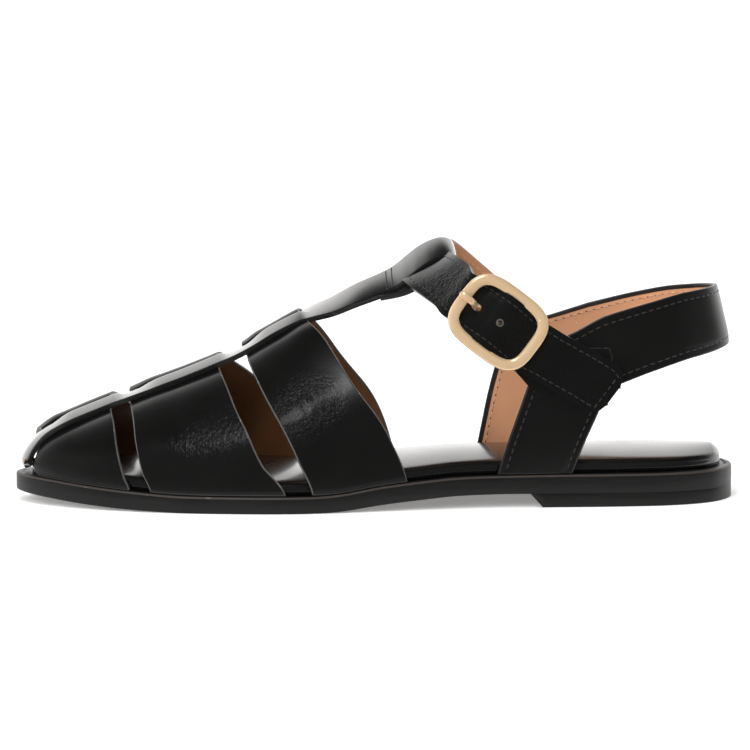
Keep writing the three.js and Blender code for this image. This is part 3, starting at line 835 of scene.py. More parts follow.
@dataclass
class Pattern:
    """A flat pattern piece, cut from sheet leather and laid on a surface.

    Attributes:
        name: The piece's name.
        place: The point in millimetres of its outer face at (u, v).
        long: Its length along u.
        wide: Its width along v.
        thick: Its thickness.
        outward: A rough direction that its outer face looks in, at (u, v).
        finishes: Outer face, inner face and edge.
        lift: How far its outer face stands off "place", at (u, v).
        pitch: Size of its grid's faces.
        edge: Rounding of its edges.
        slits: Lengthwise slits along its middle, as (start, end) of u.
        part: How far each lip of a slit draws back, as a share of the width: v under and
            over the middle.
        dressed: Where the lining is dressed black, at (u, v); the finishes then go on with
            those of the outer and inner face there.
    """

    name: str
    place: Place
    long: float
    wide: float
    thick: float
    outward: Callable[[float, float], Vector]
    finishes: Sequence[Finish]
    lift: Lift = lambda u, v: 0.0
    pitch: float = 1.0
    edge: float = 0.45
    slits: Sequence[tuple[float, float]] = ()
    part: tuple[float, float] = (0.0, 0.0)
    dressed: Callable[[float, float], bool] = lambda u, v: False

    def _lips(self, sheet: bmesh.types.BMesh) -> None:
        """Splits the grid along its slits and draws the lips apart."""
        def inside(u: float) -> tuple[float, float] | None:
            """The slit that holds u."""
            return next((s for s in self.slits if s[0] < u < s[1]), None)

        middle = [e for e in sheet.edges
                  if all(abs(v.co.y) < 1e-6 for v in e.verts)
                  and inside(sum(v.co.x for v in e.verts) / 2 + 0.5)]
        bmesh.ops.split_edges(sheet, edges=middle)
        for vertex in sheet.verts:
            slit = inside(vertex.co.x + 0.5)
            if slit is None:
                continue
            reach = min(vertex.co.x + 0.5 - slit[0], slit[1] - vertex.co.x - 0.5) * self.long
            draw = smooth(0.0, 3.2, reach)
            away = sum(f.calc_center_median().y for f in vertex.link_faces)
            if away < 0:
                vertex.co.y = -0.5 + (vertex.co.y + 0.5) * (1 - 2 * self.part[0] * draw)
            else:
                vertex.co.y = 0.5 - (0.5 - vertex.co.y) * (1 - 2 * self.part[1] * draw)

    def build(self) -> bpy.types.Object:
        """Cuts the sheet, lays it on its surface and gives it thickness and round edges."""
        sheet = bmesh.new()
        rows = max(round(self.long / self.pitch), 4)
        cols = max(2 * round(self.wide / self.pitch / 2), 4)
        bmesh.ops.create_grid(sheet, x_segments=rows, y_segments=cols, size=0.5)
        if self.slits:
            self._lips(sheet)
        layer = sheet.loops.layers.uv.new("UVMap")
        for face in sheet.faces:
            for loop in face.loops:
                at = loop.vert.co
                loop[layer].uv = ((at.x + 0.5) * self.long * MM, (at.y + 0.5) * self.wide * MM)
            middle = face.calc_center_median()
            if self.dressed(middle.x + 0.5, middle.y + 0.5):
                face.material_index = 3
        flat = {vertex: (vertex.co.x + 0.5, vertex.co.y + 0.5) for vertex in sheet.verts}
        for vertex, (u, v) in flat.items():
            vertex.co = self.place(u, v)
        sheet.normal_update()
        probe = next(iter(flat))
        if probe.normal.dot(self.outward(*flat[probe])) < 0:
            bmesh.ops.reverse_faces(sheet, faces=sheet.faces)
            sheet.normal_update()
        moves = [(vertex, vertex.normal * self.lift(u, v)) for vertex, (u, v) in flat.items()]
        for vertex, move in moves:
            vertex.co += move
        piece = settle(sheet, self.name, self.finishes)
        wall = piece.modifiers.new("leather_thickness", "SOLIDIFY")
        wall.thickness = self.thick * MM
        wall.offset = -1
        wall.use_even_offset = False
        wall.material_offset = 1
        wall.material_offset_rim = 2
        bevel(piece, self.edge)
        return piece

    def spot(self, u: float, v: float) -> tuple[Vector, Vector]:
        """The outer face's point and its outward direction at (u, v)."""
        step = 2e-3
        a = self.place(min(u + step, 1), v) - self.place(max(u - step, 0), v)
        b = self.place(u, min(v + step, 1)) - self.place(u, max(v - step, 0))
        normal = a.cross(b).normalized()
        if normal.dot(self.outward(u, v)) < 0:
            normal.negate()
        return self.place(u, v) + normal * self.lift(u, v), normal


@dataclass
class Seam:
    """Rows of separate stitches, gathered into one mesh.

    Attributes:
        name: The piece's name.
        finish: Its thread.
        pitch: From stitch to stitch.
        long: Length of a stitch.
        wide: Its width.
        proud: Half its height.
    """

    name: str
    finish: Finish
    pitch: float = 3.0
    long: float = 2.2
    wide: float = 0.62
    proud: float = 0.3
    places: list[Matrix] = field(default_factory=list)

    def sew(self, pattern: Pattern, line: Sequence[tuple[float, float]],
            sink: float = 0.0) -> None:
        """Adds a row of stitches along a line of a pattern piece.

        Args:
            pattern: The piece that is sewn.
            line: Points (u, v) that the row follows.
            sink: How far under the outer face the row lies.
        """
        fine = []
        for (u0, v0), (u1, v1) in zip(line, line[1:]):
            fine += [(lerp(u0, u1, k / 24), lerp(v0, v1, k / 24)) for k in range(24)]
        fine.append(line[-1])
        spots = [pattern.spot(u, v) for u, v in fine]
        spots = [(p - n * sink, n) for p, n in spots]
        gone, due = 0.0, self.pitch / 2
        for (p, n), (q, _) in zip(spots, spots[1:]):
            span = (q - p).length
            while span > 0 and gone + span >= due:
                self.stitch(p.lerp(q, (due - gone) / span), (q - p).normalized(), n)
                due += self.pitch
            gone += span

    def stitch(self, at: Vector, run: Vector, up: Vector) -> None:
        """Adds one stitch."""
        across = up.cross(run).normalized()
        turn = Matrix((run, across, run.cross(across))).transposed().to_4x4()
        size = Matrix.Diagonal((self.long, self.wide, 2 * self.proud, 1))
        self.places.append(Matrix.Translation(at) @ turn @ size)

    def build(self) -> bpy.types.Object:
        """Builds the stitches as one piece."""
        thread = bmesh.new()
        for place in self.places:
            bmesh.ops.create_uvsphere(thread, u_segments=6, v_segments=4, radius=0.5,
                                      matrix=place @ Matrix.Rotation(math.pi / 2, 4, "Y"))
        return settle(thread, self.name, (self.finish,))


# ---------------------------------------------------------------- sole
@dataclass
class Sole:
    """The outsole, the heel lift and the footbed.

    Attributes:
        last: The outline that they follow.
        seat: Station of the heel breast's foot.
        rake: How far the breast leans back over the lift's height.
        breast: The share of the lift's rows that run to the breast; the last ones close it.
        bed_inset: The footbed's wall, in from the outsole's edge.
        toe_inset: And this much more behind the toe strap.
        toe_from: The turn from which it is moved in more.
        bed_wall: Height of the footbed at its edge.
        fit: Gap under the footbed.
        joint: Rounding of the outsole's lower edge over the heel lift, as a share.
        rim: The outsole's edge from its top to its tread: how far in, and how far down.
        bed: Half of the footbed's section: share across, and height over its wall's.
    """

    last: Last
    seat: float = 72.0
    rake: float = 4.5
    breast: float = 0.94
    bed_inset: float = 4.3
    toe_inset: float = 2.0
    toe_from: float = 0.85
    bed_wall: float = 4.8
    fit: float = 0.3
    joint: float = 0.15
    rim: tuple[tuple[float, float], ...] = (
        (3.0, 0.0), (1.0, 0.0), (0.42, 0.05), (0.12, 0.3), (0.0, 0.75), (-0.02, 0.5),
        (0.0, -0.75), (0.12, -0.3), (0.42, -0.06), (1.0, 0.0), (3.0, 0.0))
    bed: tuple[tuple[float, float], ...] = (
        (0.0, 0.0), (0.001, 0.1), (-0.005, 0.2), (-0.006, 0.3), (-0.003, 0.42), (0.0005, 0.52),
        (0.0012, 0.56), (0.0003, 0.62), (0.004, 0.7), (0.011, 0.79), (0.02, 0.865),
        (0.032, 0.925), (0.047, 0.975), (0.07, 1.03), (0.11, 1.105), (0.16, 1.19),
        (0.22, 1.275), (0.29, 1.35), (0.36, 1.4), (0.43, 1.43), (0.5, 1.44))

    def _section(self, turn: float) -> list[Vector]:
        """Half rings of the outsole on both sides, joined."""
        ring: list[Vector] = []
        for side in (1, -1):
            half = []
            count = len(self.rim)
            for k, (inset, drop) in enumerate(self.rim):
                s, y = self.last.outline(turn, side, inset)
                low, high = self.last.bottom(s), self.last.top(s)
                if k == count // 2:
                    z = (low + high) / 2
                elif k < count // 2:
                    z = high - drop
                else:
                    tight = lerp(self.joint, 1.0, smooth(self.seat + 2, self.seat + 12, s))
                    s, y = self.last.outline(turn, side, inset * (tight if inset < 1 else 1))
                    z = low - drop * tight
                half.append(self.last.at(s, y, z))
            for share in (0.5, 1.0):
                s = self.last.station_of(turn, 0)
                edge = half[0]
                mid = self.last.at(lerp(edge.x + ORIGIN, s, share), edge.y * (1 - share), 0)
                half.insert(0, Vector((mid.x, mid.y, self.last.top(mid.x + ORIGIN))))
                half.append(Vector((mid.x, mid.y, self.last.bottom(mid.x + ORIGIN))))
            ring += half if side > 0 else half[::-1]
        return ring

    def outsole(self) -> bpy.types.Object:
        """The outsole: flat across, rounded at its edges, with a paler painted highlight along its
        rounded top edge.
        """
        count = 2 * (len(self.rim) + 4)

        def pick(_: float, v: float) -> int:
            """Edge, painted highlight on the rounded top edge, and tread by the place round the
            section.
            """
            k = int(v * count) % count
            k = min(k, count - 2 - k) if k < count - 1 else 0
            if k in (4, 5):
                return 1
            return 2 if k >= 11 else 0

        skin = Sweep("outsole_skin", ringed(self._section, count), 180, count,
                     (Finish.SOLE, Finish.WELT, Finish.TREAD), pick)
        return report(skin.build(), "outsole", "outsole")

    def heel_lift(self) -> bpy.types.Object:
        """The heel lift, its breast leaning back."""
        rise = self.last.bottom(0)
        end = self.last.turn_of(self.seat, 0)
        drops = ((0.14, 0.0), (0.04, 0.03), (0.0, 0.12), (0.0, 0.5), (0.1, 0.1), (0.5, 0.0))
        count = 14

        def place(u: float, v: float) -> Vector:
            """A point of the skin: rows run to the breast, which the last rows close."""
            k = round(v * count) % count
            side = 1 if k < 7 else -1
            k = k if k < 7 else 13 - k
            along = min(u / self.breast, 1.0)
            shut = max((u - self.breast) / (1 - self.breast), 0.0)
            turn = end * along
            inset, drop = drops[k] if k < 6 else (0.5, 0.0)
            s, y = self.last.outline(turn, side, inset)
            z = rise - drop if k < 3 else drop
            if k == 6:
                s, y, z = self.last.station_of(turn, 0), 0.0, 0.0
            rake = self.rake * along ** 8 * z / rise
            y *= 1 - shut
            return self.last.at(s + rake, y, z)

        skin = Sweep("heel_lift_skin", place, 50, count, (Finish.SOLE,))
        return report(skin.build(), "heel_lift", "heel_lift")

    def footbed(self) -> bpy.types.Object:
        """The padded footbed: rolled sides, a seam along them and a crowned top."""
        rows = list(self.bed) + [(1 - a, b) for a, b in self.bed[-2::-1]]
        count = len(rows) + 5

        def section(turn: float) -> list[Vector]:
            """One ring."""
            toe = max((turn - self.toe_from) / (1 - self.toe_from), 0.0)
            inset = self.bed_inset + self.toe_inset * toe ** 2
            os, oy = self.last.outline(turn, 1, inset)
            ns, ny = self.last.outline(turn, -1, inset)
            size = min((oy - ny) / 24, 1.0) ** 0.5
            ring = []
            for share, up in rows:
                s = lerp(os, ns, share)
                z = self.last.top(s) + self.fit + up * self.bed_wall * size
                ring.append(self.last.at(s, lerp(oy, ny, share), z))
            for share in (0.85, 0.66, 0.5, 0.34, 0.15):
                s = lerp(os, ns, share)
                ring.append(self.last.at(s, lerp(oy, ny, share), self.last.top(s) + self.fit))
            return ring

        skin = Sweep("padded_footbed", ringed(section, count), 150, count, (Finish.FOOTBED,))
        pad = report(skin.build(), "insole", "insole")
        return pad

    def build(self) -> None:
        """Builds the three pieces."""
        self.outsole()
        self.heel_lift()
        self.footbed()


# ---------------------------------------------------------------- woven upper
@dataclass(frozen=True)
class Crease:
    """A soft trough pressed into a band by walking.

    Attributes:
        rnd: Place round the foot of its middle.
        across: Place across the band of its middle, 0 rear and 1 front.
        reach: Half its length, in rnd.
        wide: Half its width, in shares of the band's width.
        deep: Its depth, in millimetres; negative for a ridge.
    """

    rnd: float
    across: float
    reach: float
    wide: float
    deep: float


@dataclass
class Band:
    """One cross band, woven through the centre strap.

    Attributes:
        name: The piece's name.
        edges: Its rear and front edges by place round the foot, as stations.
        long: Its length round the foot.
        wide: Its width at the feet.
        creases: Its creases.
    """

    name: str
    edges: Table
    long: float
    wide: float
    creases: tuple[Crease, ...] = ()


@dataclass
class WovenUpper:
    """Three cross bands and the centre strap that they are woven through.

    Attributes:
        last: The last that they lie on.
        thick: Thickness of the bands.
        bar_thick: Thickness of the centre strap, a folded one.
        bar_half: Half its width.
        weave: A band's outer face over the last, by distance from the centre strap's middle:
            under its outer half, up through its slit and over its inner half; "tight" where
            the slit's lip lies flat and "loose" where it is lifted.
        lip: How far the band lifts the outer lip of a slit.
        bar: The centre strap's middle, from the toe to the end of its loop.
        crest_rows: The first and last row of the strap's table that lie on the crest.
        black_from: The row from which the strap's lining is dressed black.
        tack_rows: Where the rows of the bar tack lie, by row of the table.
        slits: The stations between which the centre strap is slit.
    """

    last: Last
    thick: float = 1.6
    bar_thick: float = 1.9
    bar_half: float = 7.5
    weave: Table = field(default_factory=lambda: Table(
        "off tight loose",
        (-40, 1.6, 1.6), (-19, 1.6, 1.6), (-15, 2.1, 2.1), (-11.5, 3.5, 3.5), (-8.5, 4.8, 4.8),
        (-5.5, 5.3, 5.3), (-3.4, 4.8, 4.9), (-2, 3.9, 4.2), (-1.1, 3.1, 3.6), (-0.3, 2.1, 2.9),
        (0.7, 1.25, 2.2), (2.2, 0.95, 1.8), (5, 0.9, 1.4), (8, 0.95, 1.15), (12, 1.4, 1.5),
        (17, 1.6, 1.6), (40, 1.6, 1.6)))
    lip: float = 1.5
    bands: tuple[Band, ...] = (
        Band("front_band", Table(
            "rnd rear front", (-1, 213.5, 252), (-0.7, 216.2, 252.6), (-0.4, 217.8, 252),
            (0, 226.6, 251.4), (0.4, 225.1, 252.6), (0.75, 223.1, 253.8), (0.94, 220.9, 254),
            (1, 219, 252.4)), 96, 34),
        Band("middle_band", Table(
            "rnd rear front", (-1, 154, 204), (-0.7, 163, 210), (-0.4, 174, 215.5),
            (-0.12, 184.6, 218.6), (0.05, 187.6, 220.2), (0.41, 182.8, 218.3),
            (0.66, 178.1, 217.1), (0.9, 172.2, 214.8), (1, 163.8, 211.8)), 138, 44,
             (Crease(0.72, 0.42, 0.12, 0.05, 0.14), Crease(0.64, 0.58, 0.1, 0.04, 0.12),
              Crease(0.78, 0.3, 0.08, 0.04, 0.1), Crease(0.56, 0.48, 0.09, 0.05, -0.1),
              Crease(-0.7, 0.45, 0.12, 0.05, 0.14), Crease(-0.6, 0.6, 0.1, 0.04, 0.1))),
        Band("rear_band", Table(
            "rnd rear front", (-1, 122, 147), (-0.7, 133, 156.5), (-0.4, 144.5, 167.5),
            (-0.06, 156.6, 177.6), (0.12, 154.6, 177.4), (0.3, 148.6, 175),
            (0.66, 136.5, 166.8), (0.9, 126.6, 159.8), (1, 121, 154.6)), 158, 36,
             (Crease(0.6, 0.62, 0.1, 0.05, 0.12), Crease(0.52, 0.5, 0.1, 0.06, 0.14),
              Crease(0.45, 0.66, 0.08, 0.05, -0.1), Crease(-0.55, 0.5, 0.1, 0.06, 0.12))))
    bar: Table = field(default_factory=lambda: Table(
        "s y z tilt sag",
        (258.9, 0, 11.6, 0, 2.6), (260, 0, 13.6, 0, 2.6), (259.6, 0, 16.5, 0, 2.4),
        (257, 0, 20.9, 1, 1.8), (252.6, -0.5, 25.3, 3, 1), (247, -0.8, 28.5, 3, 0.6),
        (239, -1.5, 31.8, 3, 0.4), (223, -2.3, 38, 3, 0.4), (202, -3.2, 45.45, 3, 0.4),
        (185, -3.8, 52.4, 3, 0.4), (177, -4, 56.4, 3, 0.4), (167, -4.3, 62.2, 3, 0.4),
        (156.5, -4.5, 67.4, 9, 0.4), (147, -4.4, 70.6, 16, 0.4), (138, -4, 74.7, 22, 0.4),
        (129, -3.6, 78.3, 25, 0.4), (124, -3.4, 80.9, 26, 0.4), (119.6, -3.2, 84.4, 27, 0.4),
        (115.5, -3, 87.6, 27, 0.4), (111, -3, 90.3, 25, 0.4), (106.5, -3, 91.8, 23, 0.4),
        (102.8, -3, 91.2, 22, 0.4), (101.2, -3, 88.8, 22, 0.4), (102.5, -3, 86.4, 22, 0.4),
        (106, -3, 84.8, 23, 0.4), (109.8, -3, 82.8, 24, 0.4), (113.6, -3, 80.2, 24, 0.4),
        (118, -3.2, 77.7, 24, 0.4), (122.6, -3.4, 76.2, 24, 0.4), (129, -3.5, 75, 24, 0.4)))
    crest_rows: tuple[int, int] = (2, 15)
    black_from: float = 13.6
    tack_rows: tuple[float, float] = (15.4, 15.85)
    slits: tuple[tuple[float, float], ...] = ((222.2, 250.4), (184.2, 219.0), (155.2, 179.4))

    def parting(self, s: float) -> float:
        """How far a slit's outer lip is lifted at a station, as a share."""
        for low, high in self.slits:
            if low < s < high:
                return smooth(0, 10, high - s) * smooth(0, 3.2, s - low)
        return 0.0

    def band(self, band: Band) -> bpy.types.Object:
        """One cross band."""
        last = self.last

        def place(u: float, v: float) -> Vector:
            """A point of the last under the band."""
            rnd = 1 - 2 * u
            rear = last.turn_of(band.edges.read("rear", rnd), last.inset)
            front = last.turn_of(band.edges.read("front", rnd), last.inset)
            return last.surface(lerp(rear, front, v), rnd)

        def outward(u: float, v: float) -> Vector:
            """Away from the foot."""
            rnd = 1 - 2 * u
            return Vector((0, math.sin(rnd * math.pi / 2), math.cos(rnd * math.pi / 2) + 0.2))

        def lift(u: float, v: float) -> float:
            """The weave and the creases."""
            point = place(u, v)
            mid = last.crest.read("y", min(max(point.x + ORIGIN, 120.0), 256.0), "s")
            off = point.y - mid
            rise = lerp(self.weave.read("tight", off), self.weave.read("loose", off),
                        self.parting(point.x + ORIGIN))
            over = smooth(0.5, 3, -off) * (1 - smooth(13, 19, -off))
            rise -= 0.7 * over * smooth(0.7, 1, v)
            for crease in band.creases:
                rise -= crease.deep * bump(1 - 2 * u, crease.rnd, crease.reach) * bump(
                    v, crease.across + 0.03 * math.sin(9 * u), crease.wide)
            return rise

        # The bands' edges are painted grey as a painted highlight along them.
        pattern = Pattern(band.name, place, band.long, band.wide, self.thick, outward,
                          (Finish.BAND, Finish.BAND_LINING, Finish.BAND_EDGE), lift,
                          pitch=0.9, edge=0.5)
        return report(pattern.build(), "upper", "upper")

    def bar_pattern(self) -> Pattern:
        """The centre strap: up the crest, round the ankle strap and back under itself."""
        bar, end = self.bar, float(self.bar.last())
        first, final = self.crest_rows

        def axes(n: float) -> tuple[Vector, Vector, Vector]:
            """The middle of the strap, its direction across and its inward one."""
            tilt = math.radians(bar.read("tilt", n, "n"))
            ahead, behind = min(n + 0.05, end), max(n - 0.05, 0.0)
            run = Vector((bar.read("s", ahead, "n") - bar.read("s", behind, "n"), 0,
                          bar.read("z", ahead, "n") - bar.read("z", behind, "n"))).normalized()
            across = Vector((0, math.cos(tilt), -math.sin(tilt)))
            middle = self.last.at(*(bar.read(c, n, "n") for c in ("s", "y", "z")))
            return middle, across, run.cross(across).normalized()

        def place(u: float, v: float) -> Vector:
            """A point of the strap's outer face."""
            middle, across, inward = axes(u * end)
            t = 2 * v - 1
            sag = bar.read("sag", u * end, "n")
            return middle + across * self.bar_half * t + inward * sag * t * t

        def outward(u: float, v: float) -> Vector:
            """Away from the foot, or out of the loop."""
            return -axes(u * end)[2]

        def where(station: float) -> float:
            """The u of a station on the crest."""
            for i in range(first, final):
                a, b = bar.columns["s"][i], bar.columns["s"][i + 1]
                if b <= station <= a:
                    return (i + (a - station) / (a - b)) / end
            return 0.0

        spans = [(where(high), where(low)) for low, high in self.slits]

        def lift(u: float, v: float) -> float:
            """The outer lip of a slit rides up and the inner one goes down under the band."""
            share = self.parting(bar.read("s", u * end, "n")) if first < u * end < final else 0.0
            if v >= 0.5:
                return self.lip * share * 2 * (1 - v)
            return -0.42 * share * bump(v, 0.5, 0.5)

        # The strap's lining takes the band lining, painted darker for the shade under the bands.
        black = (Finish.BAR, Finish.BAND_LINING, Finish.EDGE, Finish.BAR, Finish.EDGE)
        return Pattern("centre_strap", place, 245, 15, self.bar_thick, outward, black, lift,
                       pitch=0.8, edge=0.55, dressed=lambda u, v: u * end > self.black_from,
                       slits=spans, part=(0.115, 0.035))

    def bar_tack(self, pattern: Pattern) -> bpy.types.Object:
        """Two short rows of stitches across the strap that close its loop."""
        tack = Seam("bar_tack", Finish.THREAD, pitch=1.5, long=1.35, wide=0.55, proud=0.3)
        for n in self.tack_rows:
            u = n / self.bar.last()
            tack.sew(pattern, [(u, 0.06), (u, 0.94)])
        return report(tack.build(), "upper")

    def build(self) -> None:
        """Builds the bands, the strap and its tack."""
        for band in self.bands:
            self.band(band)
        pattern = self.bar_pattern()
        report(pattern.build(), "upper", "upper")
        self.bar_tack(pattern)


# ---------------------------------------------------------------- heel strap and quarters
@dataclass
class HeelStraps:
    """The strap round the heel and the two quarters that hold it to the sole.

    Attributes:
        FINISHES: Outer face, lining and edge, then both faces of the dressed border.
        ankle: The wall that they lie on.
        thick: Thickness of the leather.
        strap_off: How far the strap's outer face stands off the wall.
        quarter_off: And the quarters', whose skins close over the strap's ends.
        pitch: From stitch to stitch.
        strap: The strap's lower and upper edge, by place round the wall.
        outer: The outer quarter's rear and front edge, by height.
        inner: And the inner one's.
    """

    FINISHES: ClassVar[tuple[Finish, ...]] = (
        Finish.QUARTER, Finish.LINING, Finish.EDGE, Finish.QUARTER, Finish.EDGE)
    ankle: Ankle
    thick: float = 1.6
    strap_off: float = 1.8
    quarter_off: float = 1.95
    pitch: float = 2.95
    strap: Table = field(default_factory=lambda: Table(
        "along low high",
        (-1.535, 44, 59.5), (-1.27, 42.3, 63.4), (-1, 43.6, 68), (-0.75, 49, 72.2),
        (-0.5, 52.6, 75.2), (0, 56, 77.4), (0.5, 53.2, 76.4), (0.75, 49, 73.4), (1, 42.6, 68.8),
        (1.18, 38.8, 63.8), (1.3, 37.2, 60.8)))
    outer: Table = field(default_factory=lambda: Table(
        "z rear front", (11.85, 61.2, 88.7), (22, 57.4, 85.6), (34.8, 51.9, 81.2),
        (44.4, 48.4, 77.9), (54, 47, 74.6), (58, 48, 73)))
    inner: Table = field(default_factory=lambda: Table(
        "z rear front", (11.85, 64.2, 92.5), (22, 61, 90.4), (34.8, 56.5, 87.6),
        (44.4, 53, 85), (54, 51, 82), (62, 52, 79)))

    def outward(self, along: float) -> Vector:
        """Away from the ankle at a place round it."""
        angle = min(abs(along), 1.0) * math.pi / 2
        return Vector((-math.cos(angle), math.copysign(math.sin(angle), along), 0))

    def strap_pattern(self) -> Pattern:
        """The strap round the heel."""
        ends = self.strap.columns["along"]

        def place(u: float, v: float) -> Vector:
            """A point of the wall under the strap."""
            along = lerp(ends[0], ends[-1], u)
            return self.ankle.surface(
                along, lerp(self.strap.read("low", along), self.strap.read("high", along), v))

        def lift(u: float, v: float) -> float:
            """Proud of the wall, with a soft swell at the back seam and a channel for stitches."""
            along = lerp(ends[0], ends[-1], u)
            seam = 0.28 * bump(along, 0, 0.05)
            rows = 0.12 * (bump(v, 0.11, 0.05) + bump(v, 0.89, 0.05))
            return self.strap_off + seam - rows

        return Pattern("heel_strap", place, 232, 23, self.thick, lambda u, v: self.outward(
            lerp(ends[0], ends[-1], u)), self.FINISHES, lift, pitch=0.85, edge=0.7,
            dressed=lambda u, v: abs(v - 0.5) > 0.43)

    def quarter_pattern(self, name: str, rows: Table, side: int) -> Pattern:
        """One quarter: side is 1 for the outer one."""
        low, high = rows.columns["z"][0], rows.columns["z"][-1]

        def place(u: float, v: float) -> Vector:
            """A point of the wall under the quarter."""
            z = lerp(low, high, u)
            rear = self.ankle.along_of(rows.read("rear", z))
            front = self.ankle.along_of(rows.read("front", z))
            return self.ankle.surface(side * lerp(rear, front, v), z)

        def lift(u: float, v: float) -> float:
            """Its thickness, a little crown and a channel for each row of stitches."""
            channel = 0.14 * (bump(v, 0.1, 0.045) + bump(v, 0.9, 0.045))
            crown = 0.25 * math.sin(math.pi * v) * (1 - smooth(0.3, 0.45, u))
            return self.quarter_off - channel + crown

        return Pattern(name, place, high - low + 2, 26, self.thick,
                       lambda u, v: Vector((0, side, 0)), self.FINISHES, lift, pitch=0.8,
                       edge=0.7, dressed=lambda u, v: abs(v - 0.5) > 0.44)

    def build(self) -> None:
        """Builds the straps and their stitches."""
        strap = self.strap_pattern()
        outer = self.quarter_pattern("outer_quarter", self.outer, 1)
        inner = self.quarter_pattern("inner_quarter", self.inner, -1)
        for pattern in (strap, outer, inner):
            report(pattern.build(), "back_strap", "back_strap")
        shown = Seam("quarter_stitches", Finish.THREAD, self.pitch, long=2.3)
        hidden = Seam("lining_stitches", Finish.TAN_THREAD, self.pitch, long=1.9, wide=0.6)
        pits = Seam("lining_needle_holes", Finish.PIT, self.pitch, long=0.9, wide=0.75, proud=0.14)
        for seam, sink in ((shown, 0.02), (hidden, self.thick - 0.04)):
            for v in (0.12, 0.88):
                seam.sew(strap, [(k / 12, v) for k in range(13)], sink)
            for quarter, top in ((outer, 0.9), (inner, 0.98)):
                for v in (0.1, 0.9):
                    seam.sew(quarter, [(0.04, v), (top / 2, v), (top, v)], sink)
        # One black dot of painted shade beside each lining stitch, for the shade inside its needle
        # hole.
        for place in hidden.places:
            offset = place.to_3x3() @ Vector((0.8, 0, 0.1))
            axes = [place.to_3x3().col[i].normalized() for i in range(3)]
            pits.stitch(place.translation + offset, axes[0], axes[2])
        for seam in (shown, hidden, pits):
            report(seam.build(), "back_strap")


